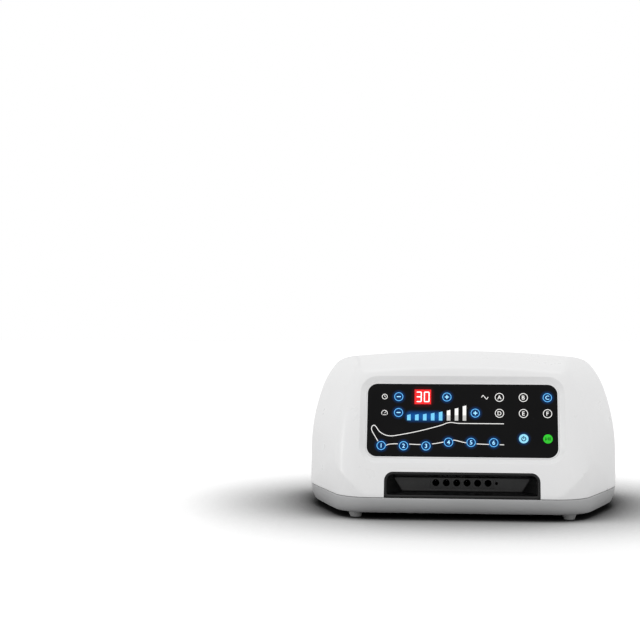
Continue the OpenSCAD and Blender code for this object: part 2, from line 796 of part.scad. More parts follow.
// The right head blows forward to the valves, the left head draws from the filter behind it
module pump_heads() color("lightgray") at_pump() for (port = [[0, supply_z], [180, filter_z]])
    rotate([0, 0, port[0]]) {
        reach = port_reach(port[1]);
        difference() {
            union() {
                pump_bar(head_d, head_x, head_x + head_t);
                translate([head_x + head_port, -reach - spigot_l, port[1] - pump_z])
                    bar_y(spigot_d, spigot_l + head_wall);
            }
            pump_bar(head_d - 2 * head_wall, head_x - 1, head_x + head_t - head_cap);
            translate([head_x + head_port, -reach - spigot_l - 1, port[1] - pump_z])
                bar_y(airway_d, reach + spigot_l + 1);
        }
    }

module pump_mounts() color("dimgray") translate([pump_x, pump_y]) at_corners(mount_x, mount_y) {
    round_bar(mount_z, pump_plate_z, mount_d);
    round_bar(pump_plate_z - 1, pump_plate_z + pump_plate_t + 1.5, mount_peg_d);
}

// --- Air intake ---

module intake_tube() color("lightgray")
    translate([intake_x, pump_y + port_reach(filter_z), filter_z])
        tube_y(tube_d, spigot_d + fit, filter_front - fit - pump_y - port_reach(filter_z));

module intake_filter() color("khaki")
    translate([intake_x, filter_front + filter_wall + fit, filter_z])
        bar_y(filter_d - 5, filter_seat - filter_front - filter_wall - 2 * fit);

module filter_cover() color("lightgray") difference() {
    intersection() {
        translate([intake_x, filter_seat + fit, filter_z]) bar_y(filter_d, far);
        cover_form();
    }
    translate([intake_x, filter_front, filter_z - filter_d / 4]) slots(5, [2.4, far, filter_d / 2], 5);
}

// --- Power ---

module power_board() color("green")
    translate([power_board_min[0], power_board_min[1], power_board_z])
        cube([power_board_size[0], power_board_size[1], board_t]);

module transformer() color("goldenrod")
    translate([each power_board_min + transformer_set, power_board_z + board_t]) cube(transformer_size);

// The inlet's hollow is two circles side by side, around its two pins
module power_inlet() color("dimgray") translate([inlet_x, inlet_seat, inlet_z]) {
    difference() {
        union() {
            rotate([-90, 0, 0]) linear_extrude(inlet_flange_t) square(inlet_flange, center = true);
            rotate([90, 0, 0]) linear_extrude(inlet_depth) square(inlet_body, center = true);
        }
        translate([0, inlet_flange_t - inlet_bore_l, 0]) rotate([-90, 0, 0]) linear_extrude(far) {
            for (s = [-1, 1]) translate([s * inlet_pin_pitch / 2, 0]) circle(d = inlet_bore_d);
            square([inlet_pin_pitch, inlet_bore_d], center = true);
        }
    }
    for (s = [-1, 1]) translate([s * inlet_pin_pitch / 2, -inlet_bore_l, 0])
        bar_y(inlet_pin_d, inlet_bore_l - 1);
}

module inlet_leads() color("brown") {
    board_edge = power_board_min[1] + power_board_size[1] - 4;
    top = power_board_z + board_t;
    for (s = [-1, 1]) translate([inlet_x + s * inlet_pin_pitch / 2 - lead_w / 2, 0, 0])
        rotate([90, 0, 90]) linear_extrude(lead_w) polygon(band([
            [inlet_seat - inlet_depth, inlet_z],
            [board_edge + 3, inlet_z],
            [board_edge, inlet_z - 3],
            [board_edge, top],
        ], lead_t));
}

module ribbon_cable() color("lightgray") {
    start = [face_y(panel_z), panel_z] + (6 - board_h / 2) * [sin(lean), cos(lean)] + board_back * out;
    low = power_board_z + board_t + ribbon_t / 2 + fit;
    translate([ribbon_x - ribbon_w / 2, 0, 0]) rotate([90, 0, 90]) linear_extrude(ribbon_w) polygon(band([
        start,
        start - 8 * out,
        start + [ribbon_drop, -ribbon_drop],
        [start[0] + ribbon_drop, low + 8],
        [start[0] + ribbon_drop + 8, low],
        [power_board_min[1] + 8, low],
    ], ribbon_t));
}

// --- Nodes ---

top_shell();
base_shell();
feet();
case_screws();
rating_plate();
panel_fascia();
time_display();
pressure_bars();
control_board();
board_screws();
tactile_switches();
remote_receiver();
for (i = [0:len(KEYS) - 1]) key(i);
outlet_bay();
air_sockets();
chamber_tubes();
valve_manifold();
valve_coils();
for (i = [0:sockets - 1]) plunger(i);
plunger(sockets);  // vent_plunger
pressure_sensor();
supply_tube();
pump_frame();
pump_coils();
pump_armature();
pump_diaphragms();
pump_heads();
pump_mounts();
intake_tube();
intake_filter();
filter_cover();
power_board();
transformer();
power_inlet();
inlet_leads();
ribbon_cable();
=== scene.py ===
"""Looks of a table-top air compression therapy pump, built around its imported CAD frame."""
import math

import bmesh
import bpy
import numpy as np
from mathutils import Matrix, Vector


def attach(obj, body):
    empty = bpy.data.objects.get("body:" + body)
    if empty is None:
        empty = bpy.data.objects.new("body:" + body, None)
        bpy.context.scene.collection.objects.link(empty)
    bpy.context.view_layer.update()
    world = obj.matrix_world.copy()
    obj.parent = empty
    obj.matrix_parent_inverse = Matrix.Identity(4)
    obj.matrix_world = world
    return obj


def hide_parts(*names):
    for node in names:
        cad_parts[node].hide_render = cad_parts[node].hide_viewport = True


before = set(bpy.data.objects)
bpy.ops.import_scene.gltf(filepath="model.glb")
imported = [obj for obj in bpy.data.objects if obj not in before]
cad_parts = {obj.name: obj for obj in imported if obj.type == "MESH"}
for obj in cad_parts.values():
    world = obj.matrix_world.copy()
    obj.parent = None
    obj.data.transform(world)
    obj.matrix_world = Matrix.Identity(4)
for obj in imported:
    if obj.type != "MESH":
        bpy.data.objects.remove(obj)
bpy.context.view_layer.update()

MM = 0.001

# --- Sizes in mm, as in the CAD source ---

BODY_W, BODY_D, BODY_H = 290.0, 208.0, 147.0
SEAM_Z, WALL, FOOT_H = 19.5, 2.5, 5.0
LEAN = math.radians(20)
CROWN_R = 1050.0
FASCIA_W, FASCIA_H, FASCIA_R = 172.0, 68.2, 9.0
FASCIA_FRONT, FASCIA_BACK, LEDGE_BACK, LEDGE = -4.0, -6.4, -8.9, 3.3
BEVEL_W, BEVEL_D = 6.7, 4.4
PANEL_Z = 88.213
KEY_D = 8.4
TIME_ROW, PRESSURE_ROW, POWER_ROW = 22.0, 7.0, -16.45
MINUS_X, TIME_PLUS_X, PRESSURE_PLUS_X = -57.7, -13.8, 12.0
MODE_X, MODE_PITCH = 33.8, 21.6
POSITION_X, POSITION_PITCH, POSITION_ROWS = -73.0, 20.3, (-24.05, -20.4)
DISPLAY_X, DISPLAY_W, DISPLAY_H = -35.75, 15.0, 13.8
BARS_X, BAR_PITCH, BAR_W, BARS_DROP, LIT_BARS = -48.2, 7.2, 3.2, 7.15, 5
BAY_W, BAY_H, BAY_R, BAY_RIM = 139.0, 22.5, 7.8, 2.7
BAY_BACK, BAY_WALL, BAY_FLOOR = -78.0, 2.0, 22.5
BAY_TAPER_LOW, BAY_TAPER_TOP, BAY_TOP_DROP = 12.5, 4.5, 3.8
SOCKET_Z, SOCKET_W, SOCKET_H, GUIDE_X, GUIDE_D = 30.2, 56.7, 10.2, 31.2, 2.8
FILTER_X, FILTER_Z, FILTER_D = -82.0, 44.0, 36.0
INLET_X, INLET_Z, INLET_W, INLET_H = 76.0, 35.5, 30.0, 22.0
VENT_X, VENT_Z, VENT_H = 46.0, 68.5, 26.0
SLOT_W, SLOT_PITCH = 3.0, 7.0
POST_X, POST_Y, SCREW_SEAT_Z = 106.0, 70.0, 11.5
PUMP_X, PUMP_Y, CORE_L, BASE_SLOT_L = -22.0, 40.0, 48.0, 32.0
SEAM_GAP = 0.35
# The play round a piece that sits in an opening of the cover
FIT = 0.1

# Chains of arcs (x, y, radius, first direction in degrees) that bound the form in each view
LOW_BACK = ((87.0, 18.5, 17.0, -90),)
ROOF_CHAIN = (
    (55.8, 80.66, 42.0, 0),
    (-30.82, -51.48, 200.0, 56.76),
    (-13.46, 47.0, 100.0, 80),
    (-53.41, 125.41, 12.0, 117),
)
FRONT_CHAIN = ((105.0, 24.0, 40.0, -90), (-30.0, 52.0, 175.0, 0), (68.67, 87.91, 70.0, 20))
PLAN_CHAIN = ((94.0, -80.0, 24.0, -90), (105.0, 0.0, 40.0, -19.26), (100.0, 59.0, 45.0, 0))
LOW_PLAN_CHAIN = ((82.0, -68.0, 36.0, -90), (105.5, 0.0, 40.0, -22.3), (100.5, 59.0, 45.0, 0))
# Azimuths in degrees where the plan's corners start and end
PLAN_BENDS = (-51.7, -35.3, 22.0, 46.0)
FACE_REACH = 105.081
BACK_TILT = math.radians(5.59)
ROOF_SPAN = (math.radians(22), math.radians(148))
# How close in mm the roof and the walls come before they blend into a soft edge
EDGE_BLEND = 2.5
# Where in y the sides below the seam start to draw in, and over what length
TUCK_START, TUCK_LENGTH = -90.0, 100.0
# The point from which the loops of the cover are found
CENTRE = np.array([0.0, 0.0, 45.0])


# --- Form of the body: signed functions that are negative inside ---

def support(chain, angles):
    """How far a chain of arcs reaches in each direction."""
    reach = np.full(np.shape(angles), -1e9)
    for x, y, r, first in chain:
        circle_reach = x * np.cos(angles) + y * np.sin(angles) + r
        reach = np.where(angles >= math.radians(first), circle_reach, reach)
    return reach


def beyond(chain, p, q, span):
    """Distance of points (p, q) beyond the hull of a chain, seen within a span of directions."""
    angles = np.linspace(span[0], span[1], 241)
    reach = support(chain, angles)
    best = np.full(p.shape, -1e9)
    for angle, limit in zip(angles, reach):
        np.maximum(best, p * math.cos(angle) + q * math.sin(angle) - limit, out=best)
    return best


def smooth_step(t):
    t = np.clip(t, 0, 1)
    return t * t * (3 - 2 * t)


HEIGHTS = np.linspace(0, 170, 3401)


def width_table(chain, low, high):
    """Reach of a chain in x at each height."""
    angles = np.linspace(low, high, 721)[:, None]
    reach = support(chain, angles)
    return np.min((reach - HEIGHTS * np.sin(angles)) / np.cos(angles), axis=0)


STEEP = math.radians(86)
HALF_WIDTH = width_table(FRONT_CHAIN, -STEEP, STEEP)
BACK_Y = width_table(LOW_BACK, -STEEP, BACK_TILT)
FRONT_Y = -width_table(LOW_BACK, -STEEP, LEAN)


def beyond_walls(p):
    """The plan, fitted at each height between the front face, the back and the sides.

    A second plan, with rounder front corners, trims it. Above the seam that one is upright,
    and below the seam it is fitted in the same way as the first.
    """
    z, span = p[:, 2], (-math.pi / 2, math.pi / 2)
    half, front, back = (np.interp(z, HEIGHTS, table) for table in (HALF_WIDTH, FRONT_Y, BACK_Y))
    low = z < SEAM_Z - 1
    share = np.where(low, smooth_step((p[:, 1] - TUCK_START) / TUCK_LENGTH), 1)
    x = np.abs(p[:, 0]) * (1 + (BODY_W / 2 / half - 1) * share)
    y = -BODY_D / 2 + BODY_D * (p[:, 1] - front) / (back - front)
    upright = beyond(LOW_PLAN_CHAIN, np.where(low, x, np.abs(p[:, 0])), np.where(low, y, p[:, 1]), span)
    return np.maximum(beyond(PLAN_CHAIN, x, y, span), upright)


def beyond_roof(p):
    """The roof's side view, bent over from side to side."""
    axis_z = BODY_H - CROWN_R
    z = np.hypot(p[:, 0], p[:, 2] - axis_z) + axis_z
    return beyond(ROOF_CHAIN, p[:, 1], z, ROOF_SPAN)


def beyond_body(p):
    """Walls and roof together, with a soft edge where they meet."""
    walls, roof = beyond_walls(p), beyond_roof(p)
    overlap = np.maximum(EDGE_BLEND - np.abs(walls - roof), 0)
    return np.maximum(walls, roof) + overlap ** 2 / (4 * EDGE_BLEND)


HALVINGS = 26


def onto(form, start, direction, inset=0.0, reach=260.0):
    """Moves each start point along its direction to where the form, shrunk by an inset, ends."""
    near = np.zeros(len(start))
    far = np.full(len(start), reach)
    for _ in range(HALVINGS):
        mid = (near + far) / 2
        inside = form(start + direction * mid[:, None]) + inset < 0
        near = np.where(inside, mid, near)
        far = np.where(inside, far, mid)
    return start + direction * near[:, None]


def unit(v):
    return v / np.linalg.norm(v, axis=-1, keepdims=True)


# --- Panel frame: x to the right, y up the slope, depth along the face's normal ---

NORMAL = np.array([0.0, -math.cos(LEAN), math.sin(LEAN)])
UPHILL = np.array([0.0, math.sin(LEAN), math.cos(LEAN)])
PANEL_ORIGIN = np.array([0.0, -(FACE_REACH - PANEL_Z * math.sin(LEAN)) / math.cos(LEAN), PANEL_Z])


def on_panel(x, y, n):
    """Points of the body's frame, in mm, from places on the panel and depths in front of it."""
    x, y, n = (v[..., None] for v in np.broadcast_arrays(*[np.asarray(v, float) for v in (x, y, n)]))
    return PANEL_ORIGIN + x * np.array([1.0, 0, 0]) + y * UPHILL + n * NORMAL


BEND_POINTS = 14


def rounded_outline(w, h, r, step=2.5):
    """Points and outward normals of a rounded rectangle, anticlockwise from its bottom's middle."""
    points, normals = [], []

    def side(start, end, normal, last):
        count = max(2, round(math.dist(start, end) / step))
        for i in range(count + (1 if last else 0)):
            t = i / count
            points.append([a + (b - a) * t for a, b in zip(start, end)])
            normals.append(normal)

    def bend(cx, cy, start):
        for i in range(BEND_POINTS):
            angle = math.radians(start + 90 * i / BEND_POINTS)
            points.append([cx + r * math.cos(angle), cy + r * math.sin(angle)])
            normals.append([math.cos(angle), math.sin(angle)])

    a, b = w / 2, h / 2
    side((0, -b), (a - r, -b), (0, -1), False)
    bend(a - r, -b + r, -90)
    side((a, -b + r), (a, b - r), (1, 0), False)
    bend(a - r, b - r, 0)
    side((a - r, b), (-a + r, b), (0, 1), False)
    bend(-a + r, b - r, 90)
    side((-a, b - r), (-a, -b + r), (-1, 0), False)
    bend(-a + r, -b + r, 180)
    side((-a + r, -b), (0, -b), (0, -1), False)
    return np.array(points), np.array(normals)


def fillet(before, corner, after, r, count):
    """The arc of count + 1 points that rounds a corner."""
    a, b = unit(before - corner), unit(after - corner)
    half = math.acos(max(-1, min(1, float(a @ b)))) / 2
    centre = corner + unit(a + b) * r / math.sin(half)
    start, end = corner + a * r / math.tan(half) - centre, corner + b * r / math.tan(half) - centre
    turn = math.pi - 2 * half
    return [
        centre + (start * math.sin((1 - t) * turn) + end * math.sin(t * turn)) / math.sin(turn)
        for t in np.linspace(0, 1, count + 1)
    ]


def filleted(points, radii, count=5):
    """A line of points whose corners are turned into arcs; a radius of 0 keeps a corner sharp."""
    points = [np.array(p, float) for p in points]
    line = [points[0]]
    for before, corner, after, r in zip(points, points[1:], points[2:], radii):
        line += fillet(before, corner, after, r, count) if r else [corner]
    return np.array(line + [points[-1]])


def rounded_polygon(corners, radii, bend=8, side=6):
    """A closed loop with the same number of points for any corners and radii."""
    corners = [np.array(c, float) for c in corners]
    n = len(corners)
    arcs = [fillet(corners[i - 1], corners[i], corners[(i + 1) % n], radii[i], bend) for i in range(n)]
    loop = []
    for i, arc in enumerate(arcs):
        leave, arrive = arc[-1], arcs[(i + 1) % n][0]
        loop += arc
        loop += [leave + (arrive - leave) * k / side for k in range(1, side)]
    return np.array(loop)


# --- Mesh helpers ---

def new_object(name, verts, faces, materials, body="root", face_material=None, sharp=32):
    """A mesh object in mm, shaded smooth apart from its sharp edges, that rides on a body."""
    mesh = bpy.data.meshes.new(name)
    mesh.from_pydata((np.asarray(verts, float) * MM).tolist(), [], faces)
    for m in materials if isinstance(materials, (list, tuple)) else [materials]:
        mesh.materials.append(m)
    if face_material is not None:
        mesh.polygons.foreach_set("material_index", face_material)
    obj = bpy.data.objects.new(name, mesh)
    bpy.context.collection.objects.link(obj)
    clean(obj, sharp)
    if body:
        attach(obj, body)
    return obj


def clean(obj, sharp=32, merge=0.0):
    """Joins points closer than merge, turns normals outward and shades smooth apart from sharp edges."""
    mesh = obj.data
    bm = bmesh.new()
    bm.from_mesh(mesh)
    if merge:
        bmesh.ops.remove_doubles(bm, verts=bm.verts, dist=merge)
    bmesh.ops.recalc_face_normals(bm, faces=bm.faces)
    bm.to_mesh(mesh)
    bm.free()
    mesh.polygons.foreach_set("use_smooth", [True] * len(mesh.polygons))
    mesh.set_sharp_from_angle(angle=math.radians(sharp))
    mesh.update()


def ring_faces(rings, count, closed=True, start=0):
    """Quads between rings of count points each; closed joins the last ring to the first."""
    faces = []
    for i in range(rings if closed else rings - 1):
        a, b = start + i * count, start + (i + 1) % rings * count
        for j in range(count):
            k = (j + 1) % count
            faces.append((a + j, a + k, b + k, b + j))
    return faces


def prism(outline, low, high, place):
    """A closed solid from an outline and two depths; place maps (u, v, depth) to points."""
    outline = np.asarray(outline, float)
    n = len(outline)
    verts = np.concatenate([place(outline[:, 0], outline[:, 1], np.full(n, d)) for d in (low, high)])
    faces = [(i, (i + 1) % n, n + (i + 1) % n, n + i) for i in range(n)]
    return verts, faces + [tuple(range(n)), tuple(range(n, 2 * n))]


def joined(solids):
    """One list of points and one of faces for several meshes."""
    verts, faces, start = [], [], 0
    for points, polygons in solids:
        verts.append(points)
        faces += [tuple(start + i for i in p) for p in polygons]
        start += len(points)
    return np.concatenate(verts), faces


def cut(obj, solids):
    """Cuts closed solids that don't touch each other out of an object."""
    tool = new_object("tool", *joined(solids), [], body=None)
    boolean = obj.modifiers.new("cut", "BOOLEAN")
    boolean.object = tool
    boolean.operation = "DIFFERENCE"
    boolean.solver = "EXACT"
    settled = obj.evaluated_get(bpy.context.evaluated_depsgraph_get())
    mesh = bpy.data.meshes.new_from_object(settled)
    obj.modifiers.clear()
    obj.data = mesh
    bpy.data.objects.remove(tool)
    clean(obj, merge=1e-6)


def facing_y(x0, z0):
    """Outlines drawn in x and z round a point, depth along Y."""
    return lambda u, v, d: np.stack([u + x0, d, v + z0], axis=-1)


def facing_z(x0, y0):
    """Outlines drawn in x and y round a point, depth along Z."""
    return lambda u, v, d: np.stack([u + x0, v + y0, d], axis=-1)


def circle(d, count=48):
    a = np.arange(count) * 2 * math.pi / count
    return np.stack([np.cos(a), np.sin(a)], axis=-1) * d / 2


def rectangle(w, h, r, bend=6):
    corners = [(w / 2, -h / 2), (w / 2, h / 2), (-w / 2, h / 2), (-w / 2, -h / 2)]
    return rounded_polygon(corners, [r] * 4, bend, 1)


def revolved(profile, x, y, count=40):
    """A closed ring turned round an upright axis from a closed line of (radius, height)."""
    turn = circle(2, count)
    rings = [np.column_stack([turn * r + (x, y), np.full(count, z)]) for r, z in profile]
    return np.concatenate(rings), ring_faces(len(rings), count)


# --- Materials ---

def hexed(r, g, b):
    """Scene colour of a display colour given in 0 to 255."""
    def lin(v):
        v /= 255
        return v / 12.92 if v <= 0.04045 else ((v + 0.055) / 1.055) ** 2.4
    return (lin(r), lin(g), lin(b), 1)


class Build:
    """A node material under construction: object coordinates, noises and bumps in mm."""

    def __init__(self, name, rough, metal=0.0, specular=0.5, coat=0.0):
        self.material = bpy.data.materials.new(name)
        self.material.use_nodes = True
        self.nodes = self.material.node_tree.nodes
        self.links = self.material.node_tree.links
        self.shader = self.nodes["Principled BSDF"]
        self.shader.inputs["Roughness"].default_value = rough
        self.shader.inputs["Metallic"].default_value = metal
        self.shader.inputs["Specular IOR Level"].default_value = specular
        self.shader.inputs["Coat Weight"].default_value = coat
        self.shader.inputs["Coat Roughness"].default_value = 0.08
        self.where = self.nodes.new("ShaderNodeTexCoord").outputs["Object"]
        self.height = None

    def feed(self, socket, value):
        """Links an output to a socket, or writes a constant into it."""
        if isinstance(value, bpy.types.NodeSocket):
            self.links.new(value, socket)
        else:
            socket.default_value = value

    def noise(self, size, detail=3.0):
        mapping = self.nodes.new("ShaderNodeMapping")
        mapping.inputs["Scale"].default_value = [1 / (size * MM)] * 3
        self.links.new(self.where, mapping.inputs["Vector"])
        noise = self.nodes.new("ShaderNodeTexNoise")
        noise.inputs["Scale"].default_value = 1.0
        noise.inputs["Detail"].default_value = detail
        self.links.new(mapping.outputs["Vector"], noise.inputs["Vector"])
        return noise.outputs["Fac"]

    def between(self, fac, low, high, a=0.3, b=0.7, smooth=False):
        ramp = self.nodes.new("ShaderNodeMapRange")
        ramp.interpolation_type = "SMOOTHSTEP" if smooth else "LINEAR"
        ramp.inputs["From Min"].default_value = a
        ramp.inputs["From Max"].default_value = b
        ramp.inputs["To Min"].default_value = low
        ramp.inputs["To Max"].default_value = high
        self.links.new(fac, ramp.inputs["Value"])
        return ramp.outputs["Result"]

    def colours(self, fac, first, second):
        mix = self.nodes.new("ShaderNodeMix")
        mix.data_type = "RGBA"
        self.feed(mix.inputs["A"], first)
        self.feed(mix.inputs["B"], second)
        self.links.new(fac, mix.inputs["Factor"])
        return mix.outputs["Result"]

    def maths(self, operation, a, b=None):
        """The output of a maths node; each operand is an output or a number."""
        node = self.nodes.new("ShaderNodeMath")
        node.operation = operation
        for i, value in enumerate(v for v in (a, b) if v is not None):
            self.feed(node.inputs[i], value)
        return node.outputs["Value"]

    def along(self, direction, start):
        """Place in mm along a direction, counted from a point in mm."""
        dot = self.nodes.new("ShaderNodeVectorMath")
        dot.operation = "DOT_PRODUCT"
        dot.inputs[1].default_value = np.asarray(direction) / MM
        self.links.new(self.where, dot.inputs[0])
        return self.maths("SUBTRACT", dot.outputs["Value"], float(np.dot(direction, start)))

    def nearest(self, points):
        """Distance in mm to the nearest of some points in mm."""
        best = None
        for point in points:
            node = self.nodes.new("ShaderNodeVectorMath")
            node.operation = "DISTANCE"
            node.inputs[1].default_value = np.asarray(point) * MM
            self.links.new(self.where, node.inputs[0])
            far = node.outputs["Value"]
            best = self.maths("MINIMUM", best, far) if best else far
        return self.maths("DIVIDE", best, MM)

    def beside(self, x, y, w, h, r=3.0):
        """Distance in mm outside a rounded rectangle of the panel, down to -r inside it."""
        places = self.along((1, 0, 0), (x, 0, 0)), self.along(UPHILL, on_panel(x, y, 0))
        squares = []
        for place, size in zip(places, (w, h)):
            past = self.maths("SUBTRACT", self.maths("ABSOLUTE", place), size / 2 - r)
            squares.append(self.maths("POWER", self.maths("MAXIMUM", past, 0.0), 2.0))
        return self.maths("SUBTRACT", self.maths("SQRT", self.maths("ADD", *squares)), r)

    def colour(self, output):
        self.links.new(output, self.shader.inputs["Base Color"])

    def glow(self, strength, colour):
        """Emission whose strength varies over the face."""
        self.feed(self.shader.inputs["Emission Color"], colour)
        self.links.new(strength, self.shader.inputs["Emission Strength"])

    def rough(self, output):
        self.links.new(output, self.shader.inputs["Roughness"])

    def bump(self, fac, depth):
        """Adds relief of a depth in mm."""
        bump = self.nodes.new("ShaderNodeBump")
        bump.inputs["Distance"].default_value = depth * MM
        self.links.new(fac, bump.inputs["Height"])
        if self.height:
            self.links.new(self.height, bump.inputs["Normal"])
        self.height = bump.outputs["Normal"]
        self.links.new(self.height, self.shader.inputs["Normal"])


def plastic(name, first, second, rough, grain=0.9, relief=0.01, specular=0.5, coat=0.0, metal=0.0,
            spread=0.06):
    """Moulded plastic: slight tint changes, uneven sheen and a fine moulded grain."""
    b = Build(name, rough, metal, specular, coat)
    b.colour(b.colours(b.between(b.noise(60), 0, 1), first, second))
    b.rough(b.between(b.noise(18, 4), rough - spread / 2, rough + spread / 2))
    if relief:
        b.bump(b.noise(grain, 2), relief)
    return b.material


def lit(name, first, second, strength, rough=0.3):
    """A lit print or light guide, slightly uneven over its face."""
    b = Build(name, rough)
    shown = b.colours(b.between(b.noise(1.5, 2), 0, 1), first, second)
    b.colour(shown)
    b.glow(b.between(b.noise(4, 2), strength * 0.92, strength * 1.08), shown)
    b.bump(b.noise(0.6, 2), 0.004)
    return b.material


def scaled(colour, k):
    return (colour[0] * k, colour[1] * k, colour[2] * k, 1)


# --- Layout of the panel ---

MODES = [
    ("mode_%s_key" % letter, MODE_X + i % 3 * MODE_PITCH, (TIME_ROW, PRESSURE_ROW)[i // 3])
    for i, letter in enumerate("abcdef")
]
POSITIONS = [
    ("position_%d_key" % (i + 1), POSITION_X + i * POSITION_PITCH, POSITION_ROWS[i // 3])
    for i in range(6)
]
SIGNS = [
    ("time_minus_key", MINUS_X, TIME_ROW),
    ("time_plus_key", TIME_PLUS_X, TIME_ROW),
    ("pressure_minus_key", MINUS_X, PRESSURE_ROW),
    ("pressure_plus_key", PRESSURE_PLUS_X, PRESSURE_ROW),
]
POWER = ("power_key", MODE_X + MODE_PITCH, POWER_ROW)
START = ("start_key", MODE_X + 2 * MODE_PITCH, POWER_ROW)
CHOSEN_MODE = 2
BLUE_KEYS = SIGNS + [MODES[CHOSEN_MODE]] + POSITIONS
PLAIN_KEYS = [key for key in MODES if key is not MODES[CHOSEN_MODE]]
KEYS = BLUE_KEYS + PLAIN_KEYS + [POWER, START]

BLUE = hexed(0, 104, 196)
BLACK = (0.0055, 0.0055, 0.0058, 1)


# The field of light round the lit bars: its height, and its middle over their foot
BARS_LIGHT_H, BARS_LIGHT_MID = 6.4, 3.6


def panel_black(name, rough):
    """The fascia's black, with light that spreads from the lit keys, the display and the bars."""
    b = Build(name, rough, specular=0.06)
    b.colour(b.colours(b.between(b.noise(30), 0, 1), BLACK, scaled(BLACK, 0.8)))
    b.rough(b.between(b.noise(9, 4), rough * 0.85, rough * 1.15))
    keys = b.nearest([on_panel(x, y, FASCIA_FRONT) for _, x, y in BLUE_KEYS + [POWER]])
    around_keys = b.between(keys, 0.24, 0, KEY_D * 0.36, KEY_D * 0.85, smooth=True)
    width = (LIT_BARS - 1) * BAR_PITCH + BAR_W
    middle = BARS_X + (LIT_BARS - 1) * BAR_PITCH / 2
    bars = b.beside(middle, PRESSURE_ROW - BARS_DROP + BARS_LIGHT_MID, width, BARS_LIGHT_H)
    around_bars = b.between(bars, 0.56, 0, -2.6, 3.6, smooth=True)
    display = b.beside(DISPLAY_X, TIME_ROW, DISPLAY_W, DISPLAY_H)
    around_display = b.between(display, 0.075, 0, -1.5, 4.2, smooth=True)
    red = b.between(display, 1, 0, 3, 5)
    b.glow(b.maths("MAXIMUM", b.maths("MAXIMUM", around_keys, around_bars), around_display),
           b.colours(red, BLUE, hexed(235, 20, 10)))
    b.bump(b.noise(0.4, 2), 0.0015)
    return b.material


def bar_light():
    """Lit blue bars at the left and white ones at the right, greyer in their lower part."""
    b = Build("bar_light", 0.3)
    uphill = b.along(UPHILL, on_panel(0, PRESSURE_ROW - BARS_DROP, 0))
    white = b.colours(b.between(uphill, 0, 1, 4.6, 5.4), hexed(166, 166, 164), hexed(206, 206, 204))
    blue = b.colours(b.between(b.noise(2.2, 2), 0, 1), hexed(88, 166, 206), hexed(100, 178, 212))
    change = BARS_X + (LIT_BARS - 0.5) * BAR_PITCH
    shown = b.colours(b.between(b.along((1, 0, 0), (change, 0, 0)), 0, 1, -0.5, 0.5), blue, white)
    b.colour(shown)
    b.glow(b.between(b.noise(5, 2), 0.62, 0.72), shown)
    b.bump(b.noise(0.7, 2), 0.004)
    return b.material


def socket_face():
    """The grey of the bay's wall on the face of the sockets, and painted shade in their bores: black,
    without sheen.
    """
    b = Build("socket_face", 0.45)
    # Painted shade: deeper in the bores the colour turns black and the sheen goes away
    front = b.between(b.along((0, 1, 0), (0, BAY_BACK, 0)), 0, 1, 0.2, 0.6)
    b.colour(b.colours(front, BAY_GREY, (0.004, 0.004, 0.004, 1)))
    b.rough(b.between(b.noise(5, 4), 0.4, 0.5))
    b.feed(b.shader.inputs["Specular IOR Level"], b.between(front, 0.5, 0, 0, 1))
    b.bump(b.noise(0.5, 2), 0.01)
    return b.material


